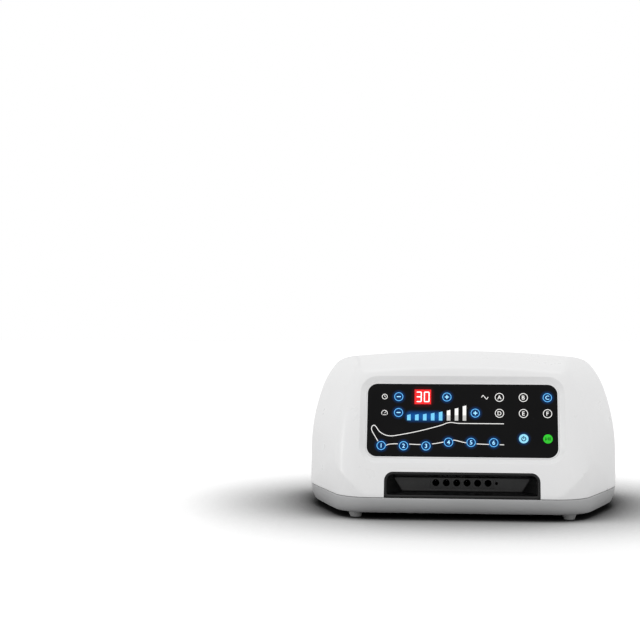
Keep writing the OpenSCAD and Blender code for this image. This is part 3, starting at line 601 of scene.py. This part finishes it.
WHITE = (0.795, 0.795, 0.797, 1)
BAY_GREY = (0.018, 0.018, 0.0185, 1)
M = {
    "cover": plastic("cover_white", WHITE, scaled(WHITE, 0.985), 0.30, 0.5, 0.001, 0.45, 0.12),
    "base": plastic(
        "base_grey", (0.43, 0.432, 0.435, 1), (0.405, 0.407, 0.41, 1), 0.42, 0.7, 0.006
    ),
    "bay": plastic(
        "bay_black", (0.004, 0.004, 0.0043, 1), (0.003, 0.003, 0.0032, 1), 0.3, 0.6, 0.006, 0.3
    ),
    "bay_back": plastic("bay_wall_grey", BAY_GREY, scaled(BAY_GREY, 0.8), 0.45, 0.5, 0.01),
    "socket": socket_face(),
    "foot": plastic("foot_rubber", (0.46, 0.46, 0.46, 1), (0.40, 0.40, 0.40, 1), 0.5, 0.5, 0.01),
    "steel": plastic(
        "screw_steel", (0.55, 0.55, 0.56, 1), (0.45, 0.45, 0.46, 1), 0.34, 0.3, 0.004, metal=1.0
    ),
    "plate": plastic(
        "plate_silver", (0.72, 0.73, 0.74, 1), (0.66, 0.67, 0.68, 1), 0.38, 0.3, 0.003, metal=0.6
    ),
    "fascia": panel_black("fascia_black", 0.24),
    "key": panel_black("key_black", 0.3),
    "display": lit("display_red", hexed(226, 6, 10), hexed(206, 0, 6), 0.55, 0.2),
    "digits": lit("digit_light", hexed(255, 236, 232), hexed(255, 222, 216), 0.9),
    "bars": bar_light(),
    "power": lit("power_light", hexed(129, 194, 214), hexed(118, 184, 208), 0.6),
    "start": lit("start_light", hexed(20, 180, 14), hexed(12, 162, 9), 0.5),
    "blue_print": lit("blue_print", hexed(92, 178, 236), hexed(80, 164, 228), 0.5),
    "sign": lit("sign_light", hexed(160, 218, 250), hexed(140, 206, 248), 0.6),
    "white_print": lit("white_print", hexed(220, 219, 217), hexed(210, 209, 207), 0.55, 0.5),
    "power_sign": plastic("power_sign", hexed(8, 60, 112), hexed(6, 52, 100), 0.4, 0.5, 0.002, 0.1),
    "start_sign": plastic("start_sign", hexed(0, 58, 4), hexed(0, 50, 3), 0.4, 0.5, 0.002, 0.1),
    "board": plastic("board_green", (0.02, 0.20, 0.08, 1), (0.015, 0.15, 0.06, 1), 0.5, 0.5, 0.02),
    "black_part": plastic(
        "part_black", (0.03, 0.03, 0.03, 1), (0.02, 0.02, 0.02, 1), 0.5, 0.4, 0.01
    ),
    "tube": plastic("tube_clear", (0.75, 0.76, 0.76, 1), (0.68, 0.69, 0.69, 1), 0.35, 1.0, 0.01),
    "nylon": plastic(
        "manifold_plastic", (0.70, 0.70, 0.68, 1), (0.66, 0.66, 0.64, 1), 0.5, 0.8, 0.01
    ),
    "coil": plastic("coil_blue", (0.08, 0.20, 0.45, 1), (0.06, 0.16, 0.38, 1), 0.45, 0.6, 0.01),
    "cast": plastic(
        "pump_aluminium", (0.60, 0.61, 0.62, 1), (0.5, 0.51, 0.52, 1), 0.42, 0.8, 0.04, metal=1.0
    ),
    "copper": plastic(
        "coil_copper", (0.60, 0.30, 0.12, 1), (0.5, 0.22, 0.08, 1), 0.32, 0.4, 0.05, metal=1.0
    ),
    "foam": plastic("filter_foam", (0.55, 0.52, 0.42, 1), (0.38, 0.35, 0.27, 1), 0.9, 1.1, 0.6),
    "inlet": plastic(
        "inlet_black", (0.015, 0.015, 0.016, 1), (0.022, 0.022, 0.023, 1), 0.38, 0.6, 0.01
    ),
    "lead": plastic("lead_brown", (0.25, 0.10, 0.04, 1), (0.2, 0.08, 0.03, 1), 0.45, 0.6, 0.01),
    "ribbon": plastic("ribbon_grey", (0.45, 0.46, 0.47, 1), (0.38, 0.39, 0.40, 1), 0.45, 0.6, 0.01),
}


# --- Cover ---

def horizontal(azimuths):
    return np.column_stack([np.cos(azimuths), np.sin(azimuths), np.zeros(len(azimuths))])


def level(form, azimuths, z, inset=0.0):
    """The loop of a form at one height, seen from the middle in some directions."""
    start = np.tile([0.0, 0.0, z], (len(azimuths), 1))
    return onto(form, start, horizontal(azimuths), inset)


# Points of the outline where its lower and upper right bends start
OUTLINE_BENDS = (31, 65)


def run_length(loop):
    """Length along a line of points, up to each of them."""
    return np.concatenate([[0], np.cumsum(np.linalg.norm(np.diff(loop, axis=0), axis=1))])


def seam_azimuths(outline):
    """Azimuths at the seam that match the outline's points, side to side and bend to bend."""
    half = len(outline) // 2
    dense = np.radians(np.linspace(-90, 90, 1441))
    loop = level(beyond_walls, dense, SEAM_Z)
    run, along = run_length(loop), run_length(outline[:half + 1])
    low, high = OUTLINE_BENDS
    marks = along[[0, low, low + BEND_POINTS, high, high + BEND_POINTS, half]]
    targets = np.interp(np.radians((-90, *PLAN_BENDS, 90)), dense, run)
    right = np.interp(np.interp(along, marks, targets), run, dense)
    left = math.pi - right[1:half][::-1]
    return np.concatenate([right, left])


def surface_depth(outline):
    """Depth at which the cover's form lies under each point of an outline of the panel."""
    start = on_panel(outline[:, 0], outline[:, 1], -30)
    found = onto(beyond_body, start, np.tile(NORMAL, (len(outline), 1)), reach=60)
    return (found - PANEL_ORIGIN) @ NORMAL


def slerp(a, b, t):
    angle = np.arccos(np.clip((a * b).sum(axis=1), -1, 1))[:, None]
    return (a * np.sin((1 - t) * angle) + b * np.sin(t * angle)) / np.sin(angle)


OUTLINE, OUTWARD = rounded_outline(FASCIA_W, FASCIA_H, FASCIA_R)
AZIMUTHS = seam_azimuths(OUTLINE)

# The thin lip round the fascia, and where the bevel starts to follow the cover's form
LIP_IN, LIP_OUT, LIP_DEPTH = 0.12, 0.95, -3.75
FOLLOW_FROM = 1.3
# The recess of the panel from the inside out: distance from the fascia's edge, and depth
RECESS = filleted(
    [
        (-LEDGE, LEDGE_BACK), (-LEDGE, FASCIA_BACK - 0.05), (LIP_IN, FASCIA_BACK - 0.05),
        (LIP_IN, LIP_DEPTH), (LIP_OUT, LIP_DEPTH), (1.4, -BEVEL_D), (BEVEL_W, 0), (BEVEL_W + 3.2, 0),
    ],
    [0, 0, 0.25, 0.25, 0, 0.7],
)
# How many loops the cover has outside and inside, and how much they crowd towards the panel
OUTER_RINGS, INNER_RINGS, CROWDING = 130, 40, 1.4
# The cover's lower edge from outside to inside: height over the seam, and inset
EDGE = [(0.6, 0), (0.3, 0.12), (SEAM_GAP / 2, 0.45), (SEAM_GAP / 2, WALL - 0.3), (0.5, WALL)]


def cover_rings():
    """Loops round the panel, over the outside, round the lower edge and back over the inside."""
    widest = RECESS[-1][0]
    dip = surface_depth(OUTLINE + OUTWARD * widest)
    rings = []
    for grow, depth in RECESS:
        at = OUTLINE + OUTWARD * grow
        follow = smooth_step((grow - FOLLOW_FROM) / (widest - FOLLOW_FROM))
        rings.append(on_panel(at[:, 0], at[:, 1], depth + dip * follow))
    first = unit(rings[-1] - CENTRE)
    last = unit(level(beyond_body, AZIMUTHS, SEAM_Z + EDGE[0][0]) - CENTRE)
    start = np.tile(CENTRE, (len(OUTLINE), 1))
    for i in range(1, OUTER_RINGS):
        rings.append(onto(beyond_body, start, slerp(first, last, (i / OUTER_RINGS) ** CROWDING)))
    rings += [level(beyond_body, AZIMUTHS, SEAM_Z + rise, inset) for rise, inset in EDGE]
    for i in range(INNER_RINGS - 1, 0, -1):
        rings.append(onto(beyond_body, start, slerp(first, last, (i / INNER_RINGS) ** CROWDING), WALL))
    x, y = (OUTLINE + OUTWARD * (widest + WALL)).T
    rings += [on_panel(x, y, depth) for depth in (-WALL - 1.5, LEDGE_BACK)]
    return rings


# Ranges of y in which the slots, the larger holes at the back and the bay's mouth are cut
SLOT_CUT, HOLE_CUT, MOUTH_CUT = (60, 130), (80, 130), (-112, -70)


def rear_openings():
    """The two fields of slots, the inlet's window and the filter cover's hole."""
    slots = [
        prism(rectangle(SLOT_W, VENT_H, SLOT_W / 2 - 0.02), *SLOT_CUT,
              facing_y(side * VENT_X + (i - 3.5) * SLOT_PITCH, VENT_Z + VENT_H / 2))
        for side in (-1, 1) for i in range(8)
    ]
    window = rectangle(INLET_W + 2 * FIT, INLET_H + 2 * FIT, 0.6)
    inlet = prism(window, *HOLE_CUT, facing_y(INLET_X, INLET_Z))
    lid = prism(circle(FILTER_D + 2 * FIT, 72), *HOLE_CUT, facing_y(FILTER_X, FILTER_Z))
    return slots + [inlet, lid]


def cover():
    """The upper shell, with its openings for the bay and at the back."""
    rings = cover_rings()
    faces = ring_faces(len(rings), len(OUTLINE))
    obj = new_object("cover", np.concatenate(rings), faces, M["cover"])
    w, low, high, r = BAY_W / 2 + FIT, SEAM_Z - 9, SEAM_Z + BAY_H + FIT, BAY_R + FIT
    mouth = rounded_polygon([(w, low), (w, high), (-w, high), (-w, low)], [1, r, r, 1], 14, 1)
    cut(obj, [prism(mouth, *MOUTH_CUT, facing_y(0, 0))] + rear_openings())
    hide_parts("top_shell")


# --- Base ---

WELL_D = 8.0


def screw_well(x, y):
    """The tube round a screw hole, open at the bottom, and its seat."""
    head, bore, tube = WELL_D / 2, 1.8, 6.0
    low, top = FOOT_H + 0.3, SEAM_Z - SEAM_GAP
    profile = [
        (head, low), (head, SCREW_SEAT_Z), (bore, SCREW_SEAT_Z), (bore, top), (tube, top), (tube, low),
    ]
    return revolved(profile, x, y)


def base():
    """The lower shell, with its slots under the pump and the wells of its four screws."""
    top, floor_z = SEAM_Z - SEAM_GAP / 2, FOOT_H + WALL
    down = SEAM_Z - 0.6 - (SEAM_Z - 1.1 - FOOT_H) * np.sin(np.linspace(0, math.pi / 2, 22))
    outside = [(top, WALL - 0.3), (top, 0.45), (SEAM_Z - 0.3, 0.12)]
    outside += [(z, 0) for z in down] + [(FOOT_H, 0.7)]
    inside = [(floor_z, WALL + 1.5)]
    inside += [(z, WALL) for z in np.linspace(floor_z + 0.8, SEAM_Z - 0.5, 6)]
    rings = [level(beyond_walls, AZIMUTHS, z, inset) for z, inset in outside + inside]
    n, under = len(AZIMUTHS), len(outside) - 1
    faces = [f for i, f in enumerate(ring_faces(len(rings), n)) if i // n != under]
    faces += [tuple(range(k * n, (k + 1) * n)) for k in (under, under + 1)]
    obj = new_object("base", np.concatenate(rings), faces, M["base"])
    slots = [
        prism(rectangle(SLOT_W, BASE_SLOT_L, SLOT_W / 2 - 0.02), -5, floor_z + 2,
              facing_z(PUMP_X + side * CORE_L / 2 + (i - 2.5) * SLOT_PITCH, PUMP_Y))
        for side in (-1, 1) for i in range(6)
    ]
    corners = [(i * POST_X, j * POST_Y) for i in (-1, 1) for j in (-1, 1)]
    wells = [prism(circle(WELL_D, 40), -5, floor_z + 2, facing_z(x, y)) for x, y in corners]
    cut(obj, slots + wells)
    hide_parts("base_shell")
    tubes = new_object("screw_wells", *joined([screw_well(x, y) for x, y in corners]), M["base"])


# --- Hose bay ---

# The bay's rim from outside to inside: inset from the mouth, and depth behind the front face
RIM = (
    (0, 2.2), (0, 0.75), (0.3, 0.25), (0.8, 0.03), (1.5, 0.05), (2.1, 0.35), (2.5, 1.0), (BAY_RIM, 2.2),
)


def bay():
    """The rounded rim, the walls that taper to the back, and the back with the sockets' window."""
    low, high, half = SEAM_Z + 0.1, SEAM_Z + BAY_H, BAY_W / 2

    def mouth(inset, r):
        w, top, bottom = half - inset, high - inset, low + inset * (BAY_FLOOR - low) / BAY_RIM
        corners = [(w, bottom), (w, top), (-w, top), (-w, bottom)]
        return rounded_polygon(corners, [r * 0.3, r, r, r * 0.3])

    def wall(inset):
        w = half - BAY_RIM - inset
        top, bottom = high - BAY_RIM - BAY_TOP_DROP - inset, BAY_FLOOR + inset
        corners = [(w - BAY_TAPER_LOW, bottom), (w - BAY_TAPER_TOP, top)]
        corners += [(-x, z) for x, z in corners[::-1]]
        return rounded_polygon(corners, [1.6 - inset * 0.5] * 4)

    def flush(loop, depth):
        front = np.interp(loop[:, 1], HEIGHTS, FRONT_Y)
        return np.column_stack([loop[:, 0], front + depth, loop[:, 1]])

    def flat(loop, y):
        return np.column_stack([loop[:, 0], np.full(len(loop), y), loop[:, 1]])

    w, below, above = SOCKET_W / 2, SOCKET_Z - SOCKET_H / 2, SOCKET_Z + SOCKET_H / 2
    window = rounded_polygon([(w, below), (w, above), (-w, above), (-w, below)], [0.15] * 4)
    rings = [flush(mouth(inset, BAY_R - inset), depth) for inset, depth in RIM]
    rings += [flat(wall(inset), BAY_BACK - rise) for inset, rise in ((0, 0.9), (0.25, 0.25), (0.9, 0))]
    rings += [flat(window, BAY_BACK), flat(window, BAY_BACK + BAY_WALL)]
    rings += [flat(mouth(0, BAY_R), BAY_BACK + BAY_WALL)]
    n = len(window)
    back = [1 if i // n in (len(RIM) + 2, len(RIM) + 3) else 0 for i in range(len(rings) * n)]
    faces, materials = ring_faces(len(rings), n), [M["bay"], M["bay_back"]]
    obj = new_object("hose_bay", np.concatenate(rings), faces, materials, face_material=back)
    cut(obj, [prism(circle(GUIDE_D, 24), BAY_BACK - 3, BAY_BACK + 5, facing_y(GUIDE_X, SOCKET_Z))])
    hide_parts("outlet_bay")


# --- Prints ---

PRINT_LOW, PRINT_HIGH = FASCIA_FRONT - 0.05, FASCIA_FRONT + 0.05


def arc(x, y, r, start, end, count=24):
    a = np.radians(np.linspace(start, end, count))
    return np.column_stack([x + r * np.cos(a), y + r * np.sin(a)])


class Print:
    """Thin printed shapes on the panel, gathered into one object."""

    def __init__(self, x=0.0, y=0.0, low=PRINT_LOW, high=PRINT_HIGH):
        self.x, self.y, self.low, self.high = x, y, low, high
        self.solids, self.slots, self.materials = [], [], []

    def add(self, points, faces, material):
        """Points are (x, y, depth) on the panel."""
        points = np.asarray(points, float)
        if M[material] not in self.materials:
            self.materials.append(M[material])
        placed = on_panel(points[:, 0] + self.x, points[:, 1] + self.y, points[:, 2])
        self.solids.append((placed, faces))
        self.slots += [self.materials.index(M[material])] * len(faces)

    def line(self, points, width, material, closed=False, caps=4):
        """A line of a width, with round ends unless it is closed."""
        points = np.asarray(points, float)
        half = np.full(len(points), width / 2)
        if not closed:
            swing = np.linspace(0.06, math.pi / 2, caps + 1)[:-1]
            first, last = unit(points[0] - points[1]), unit(points[-1] - points[-2])
            points = np.concatenate([
                points[0] + first * (width / 2 * np.cos(swing))[:, None],
                points,
                points[-1] + last * (width / 2 * np.cos(swing[::-1]))[:, None],
            ])
            half = np.concatenate([width / 2 * np.sin(swing), half, width / 2 * np.sin(swing[::-1])])
        before = np.roll(points, 1, axis=0) if closed else np.concatenate([points[:1], points[:-1]])
        after = np.roll(points, -1, axis=0) if closed else np.concatenate([points[1:], points[-1:]])
        along = unit(after - before)
        across = np.column_stack([-along[:, 1], along[:, 0]]) * half[:, None]
        left, right = points + across, points - across
        n = len(points)
        corners = (left, self.low), (right, self.low), (right, self.high), (left, self.high)
        loops = [np.column_stack([side, np.full(n, depth)]) for side, depth in corners]
        verts = np.stack(loops, axis=1).reshape(-1, 3)
        faces = ring_faces(n, 4, closed)
        if not closed:
            faces += [(0, 1, 2, 3), tuple(range(4 * n - 4, 4 * n))]
        self.add(verts, faces, material)

    def letter(self, text, size, material, bold=0.06):
        """A character of Blender's own font, centred."""
        curve = bpy.data.curves.new("letter", "FONT")
        curve.body, curve.size, curve.offset = text, size, bold
        curve.extrude = (self.high - self.low) / 2
        curve.resolution_u = 8
        holder = bpy.data.objects.new("letter", curve)
        bpy.context.collection.objects.link(holder)
        settled = holder.evaluated_get(bpy.context.evaluated_depsgraph_get())
        mesh = bpy.data.meshes.new_from_object(settled)
        points = np.array([v.co for v in mesh.vertices])
        centre = (points.min(axis=0) + points.max(axis=0)) / 2
        points += (-centre[0], -centre[1], (self.low + self.high) / 2 - centre[2])
        self.add(points, [tuple(p.vertices) for p in mesh.polygons], material)
        bpy.data.objects.remove(holder)
        bpy.data.curves.remove(curve)
        bpy.data.meshes.remove(mesh)

    def finish(self, name, body, slot):
        obj = new_object(name, *joined(self.solids), self.materials, body, self.slots)
        return obj


RING_W, SIGN_W, SIGN_ARM = 0.6, 0.9, 1.45
MODE_LETTER, POSITION_DIGIT = 5.3, 5.4
LEG_LINE_W = 0.66
# From the minus keys to the signs at their left
SIGN_OFFSET = 12.8


def ring(print_, material, width=RING_W):
    """The ring round a key's edge."""
    r = KEY_D / 2 - 0.1 - width / 2
    print_.line(arc(0, 0, r, 0, 360, 65)[:-1], width, material, closed=True)


def key_prints():
    """A ring and a sign on each key, and bare signs on the power and start keys."""
    for i, (node, x, y) in enumerate(SIGNS):
        p = Print(x, y)
        ring(p, "blue_print")
        p.line([(-SIGN_ARM, 0), (SIGN_ARM, 0)], SIGN_W, "sign")
        if i % 2:
            p.line([(0, -SIGN_ARM), (0, SIGN_ARM)], SIGN_W, "sign")
        p.finish(node + "_print", node, "key_blue")
    for i, (node, x, y) in enumerate(MODES):
        p = Print(x, y)
        chosen = i == CHOSEN_MODE
        ring(p, "blue_print" if chosen else "white_print")
        p.letter("ABCDEF"[i], MODE_LETTER, "sign" if chosen else "white_print")
        p.finish(node + "_print", node, "key_blue" if chosen else "key_black")
    for i, (node, x, y) in enumerate(POSITIONS):
        p = Print(x, y)
        ring(p, "blue_print")
        p.letter(str(i + 1), POSITION_DIGIT, "sign")
        p.finish(node + "_print", node, "key_blue")
    node, x, y = POWER
    p = Print(x, y)
    p.line(arc(0, -0.2, 1.85, 125, 415), 0.8, "power_sign")
    p.line([(0, 0.2), (0, 2.2)], 0.8, "power_sign")
    p.finish(node + "_print", node, "key_blue")
    node, x, y = START
    p = Print(x, y)
    p.line([(-2.1, -1.2), (-2.1, 1.2), (-0.4, 0), (-2.1, -1.2), (-2.1, 0.2)], 0.6, "start_sign")
    for offset in (0.7, 1.9):
        p.line([(offset, -1.2), (offset, 1.2)], 0.65, "start_sign")
    p.finish(node + "_print", node, "key_green")


def spline(points, per_span=8):
    """A smooth line through points."""
    points = np.asarray(points, float)
    padded = np.concatenate([[2 * points[0] - points[1]], points, [2 * points[-1] - points[-2]]])
    line = []
    for a, b, c, d in zip(padded, padded[1:], padded[2:], padded[3:]):
        for t in np.arange(per_span) / per_span:
            line.append(0.5 * (2 * b + (c - a) * t + (2 * a - 5 * b + 4 * c - d) * t ** 2
                               + (3 * b - a - 3 * c + d) * t ** 3))
    return np.array(line + [points[-1]])


def clear_of_keys(line):
    """The stretches of a line that run on the fascia, outside the keys."""
    centres = np.array([(x, y) for _, x, y in KEYS])
    free = (np.linalg.norm(line[:, None] - centres, axis=2) > KEY_D / 2 + 0.3).all(axis=1)
    edges = np.flatnonzero(np.diff(np.concatenate([[0], free.astype(int), [0]])))
    return [line[a:b] for a, b in zip(edges[::2], edges[1::2]) if b - a > 2]


# Points that the leg's outline passes through: toes and front, then sole and calf
LEG_FRONT = [
    (-74.5, -22.5), (-78.6, -15.6), (-81.6, -10.2), (-81.9, -6.9), (-80.0, -5.1), (-77.9, -6.6),
    (-75.2, -10.5), (-70.6, -13.7), (-65.0, -15.0), (-58.0, -14.2), (-39.5, -10.4), (-20.5, -5.2),
    (-13.5, -2.5), (-9.0, -2.0), (-3.5, -2.7), (10.0, -2.8), (37.5, -2.8),
]
LEG_BACK = [
    (-70.3, -25.7), (-67.4, -23.3), (-62.0, -22.4), (-50.5, -22.4), (-37.5, -22.8), (-25.0, -21.9),
    (-9.5, -18.8), (-5.5, -18.7), (2.5, -20.6), (12.0, -21.6), (24.0, -22.1), (37.5, -22.3),
]


def leg_diagram():
    """The leg's outline, in stretches between the keys."""
    p = Print()
    for points in (LEG_FRONT, LEG_BACK):
        for stretch in clear_of_keys(spline(points)):
            p.line(stretch, LEG_LINE_W, "white_print")
    p.finish("leg_diagram", "root", "bar_light")


def signs():
    """Small signs for time, pressure and mode."""
    clock = Print(MINUS_X - SIGN_OFFSET, TIME_ROW)
    clock.line(arc(0, 0, 2.3, 0, 360, 49)[:-1], 0.55, "white_print", closed=True)
    clock.line([(0, 1.3), (0, 0), (0.95, -0.5)], 0.5, "white_print")
    clock.finish("time_sign", "root", "bar_light")
    gauge = Print(MINUS_X - SIGN_OFFSET, PRESSURE_ROW - 0.6)
    gauge.line(arc(0, 0, 2.6, -25, 205, 40), 0.55, "white_print")
    gauge.line([(0, 0), (1.2, 1.2)], 0.5, "white_print")
    gauge.line([(-1.5, -1.6), (1.5, -1.6)], 0.5, "white_print")
    gauge.finish("pressure_sign", "root", "bar_light")
    mode = Print(MODE_X - 13.2, TIME_ROW)
    mode.line(spline([(-2.9, 0), (-1.6, 1.7), (0, 0), (1.6, -1.7), (2.9, 0)]), 0.6, "white_print")
    mode.finish("mode_sign", "root", "bar_light")


SEGMENTS = {"3": "abcdg", "0": "abcdef"}


def digits():
    """Seven-segment digits on the display."""
    w, h, gap, width = 4.2, 9.0, 0.45, 0.95
    ends = {
        "a": ((0, h), (w, h)),
        "b": ((w, h), (w, h / 2)),
        "c": ((w, h / 2), (w, 0)),
        "d": ((0, 0), (w, 0)),
        "e": ((0, 0), (0, h / 2)),
        "f": ((0, h / 2), (0, h)),
        "g": ((0, h / 2), (w, h / 2)),
    }
    p = Print(DISPLAY_X, TIME_ROW)
    for x, digit in ((-5.6, "3"), (1.5, "0")):
        for segment in SEGMENTS[digit]:
            a, b = (np.array(c) + (x, -h / 2) for c in ends[segment])
            inward = unit(b - a) * gap
            p.line([a + inward, b - inward], width, "digits")
    p.finish("display_digits", "root", "display_black")


# --- Finish of the CAD nodes that stay ---

# The finish of each node, and how far its edges are softened in mm
FINISHES = {
    "feet": ("foot", 0.6),
    "case_screws": ("steel", 0.25),
    "rating_plate": ("plate", 0.1),
    "panel_fascia": ("fascia", 0.2),
    "time_display": ("display", 0.1),
    "pressure_bars": ("bars", 0.1),
    "control_board": ("board", 0.1),
    "board_screws": ("steel", 0.1),
    "tactile_switches": ("black_part", 0.1),
    "remote_receiver": ("black_part", 0.2),
    "air_sockets": ("socket", 0.15),
    "chamber_tubes": ("tube", 0.1),
    "valve_manifold": ("nylon", 0.3),
    "valve_coils": ("coil", 0.3),
    "pressure_sensor": ("black_part", 0.2),
    "supply_tube": ("tube", 0.1),
    "pump_frame": ("cast", 0.4),
    "pump_coils": ("copper", 1.0),
    "pump_armature": ("steel", 0.3),
    "pump_diaphragms": ("black_part", 0.2),
    "pump_heads": ("cast", 0.5),
    "pump_mounts": ("foot", 0.4),
    "intake_tube": ("tube", 0.1),
    "intake_filter": ("foam", 0.6),
    "filter_cover": ("cover", 0.35),
    "power_board": ("board", 0.1),
    "transformer": ("coil", 0.8),
    "power_inlet": ("inlet", 0.35),
    "inlet_leads": ("lead", 0.2),
    "ribbon_cable": ("ribbon", 0.1),
    "power_key": ("power", 0.2),
    "start_key": ("start", 0.2),
    "vent_plunger": ("steel", 0.3),
    **{"valve_plunger_%d" % (i + 1): ("steel", 0.3) for i in range(6)},
    **{node: ("key", 0.15) for node, _, _ in BLUE_KEYS + PLAIN_KEYS},
}


def dress(name, finish, bevel):
    """A better material and softer edges for a CAD node; its mesh stays as it is."""
    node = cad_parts[name]
    for slot in node.material_slots:
        slot.material = M[finish]
    edge = node.modifiers.new("edge", "BEVEL")
    edge.width = bevel * MM
    edge.segments = 3
    edge.limit_method = "ANGLE"
    edge.angle_limit = math.radians(40)
    edge.harden_normals = True


# --- Stage ---

AIM = Vector((0, 0, 74 * MM))
DISTANCE, ELEVATION = 1.45, math.radians(5.4)
FRAME_PX, FOCAL_PX = 640, 1503
AIM_PX = (462.0, 426.7)
SENSOR = 36.0
# How far round the body the floor's colour is darkened as a painted shadow, in mm
SHADE_REACH = 130.0
# Distances from the middle, in mm, over which the floor fades into the white background
FLOOR_FADE = (170, 420)
# Strength of the even light from all round
SKY = 0.90


def camera():
    """Looks from the front and a little above; the object stands right of and below the middle."""
    data = bpy.data.cameras.new("camera")
    data.sensor_width = SENSOR
    data.lens = SENSOR * FOCAL_PX / FRAME_PX
    obj = bpy.data.objects.new("camera", data)
    bpy.context.collection.objects.link(obj)
    toward = Vector((0, math.cos(ELEVATION), -math.sin(ELEVATION)))
    seen = Vector((AIM_PX[0] - FRAME_PX / 2, FRAME_PX / 2 - AIM_PX[1], -FOCAL_PX)).normalized()
    yaw = math.asin(seen.x / toward.y)
    ahead = math.cos(yaw) * toward.y
    pitch = math.asin(seen.y / math.hypot(ahead, toward.z)) + math.atan2(-toward.z, ahead)
    obj.location = AIM - toward * DISTANCE
    obj.rotation_euler = (math.pi / 2 - pitch, 0, yaw)
    bpy.context.scene.camera = obj


def floor():
    """White, with a painted shadow that darkens its colour near the object, and lit up beyond the
    object's surroundings so that it meets the background unseen.
    """
    size = 4000
    corners = [(-size, -size, 0), (size, -size, 0), (size, size, 0), (-size, size, 0)]
    b = Build("floor_white", 0.9, specular=0.0)
    plain = b.colours(b.between(b.noise(400), 0, 1), (0.87, 0.87, 0.87, 1), (0.86, 0.86, 0.86, 1))
    # Painted shadow: the floor's colour is darkened towards black where the object hides it from its
    # surroundings
    shade = b.nodes.new("ShaderNodeAmbientOcclusion")
    shade.inputs["Distance"].default_value = SHADE_REACH * MM
    shade.samples = 12
    b.links.new(plain, shade.inputs["Color"])
    open_floor = b.between(shade.outputs["AO"], 0, 1, 0.4, 1.0)
    b.colour(b.colours(open_floor, (0.02, 0.02, 0.02, 1), shade.outputs["Color"]))
    seen = b.nodes.new("ShaderNodeLightPath").outputs["Is Camera Ray"]
    beyond_object = b.between(b.nearest([(0, 0, 0)]), 0.0, 0.3, *FLOOR_FADE, smooth=True)
    b.glow(b.maths("MULTIPLY", seen, beyond_object), (1, 1, 1, 1))
    obj = new_object("floor", corners, [(0, 1, 2, 3)], b.material, body=None)


def sky():
    """Even white light; seen directly it is a little brighter, as plain white."""
    world = bpy.data.worlds.new("studio")
    bpy.context.scene.world = world
    world.use_nodes = True
    nodes, links = world.node_tree.nodes, world.node_tree.links
    background = nodes["Background"]
    background.inputs["Color"].default_value = (1, 1, 1, 1)
    path = nodes.new("ShaderNodeLightPath")
    shown = nodes.new("ShaderNodeMapRange")
    shown.inputs["To Min"].default_value = SKY
    shown.inputs["To Max"].default_value = 1.0
    links.new(path.outputs["Is Camera Ray"], shown.inputs["Value"])
    links.new(shown.outputs["Result"], background.inputs["Strength"])


def lamp(name, place, aim, size, power):
    """A soft rectangular lamp, in metres and watts."""
    data = bpy.data.lights.new(name, "AREA")
    data.shape = "RECTANGLE"
    data.size, data.size_y = size
    data.energy = power
    obj = bpy.data.objects.new(name, data)
    bpy.context.collection.objects.link(obj)
    obj.location = place
    obj.rotation_euler = (Vector(aim) - Vector(place)).to_track_quat("-Z", "Y").to_euler()


cover()
base()
bay()
key_prints()
leg_diagram()
signs()
digits()
for node_name, (finish_name, bevel_mm) in FINISHES.items():
    dress(node_name, finish_name, bevel_mm)
camera()
floor()
sky()
lamp("top", (0, -0.25, 1.5), (0, 0, 0.1), (1.4, 0.9), 3.6)
lamp("left", (-1.4, -0.35, 0.45), (-0.1, -0.05, 0.05), (0.2, 0.5), 1.2)
bpy.context.scene.view_settings.view_transform = "Standard"
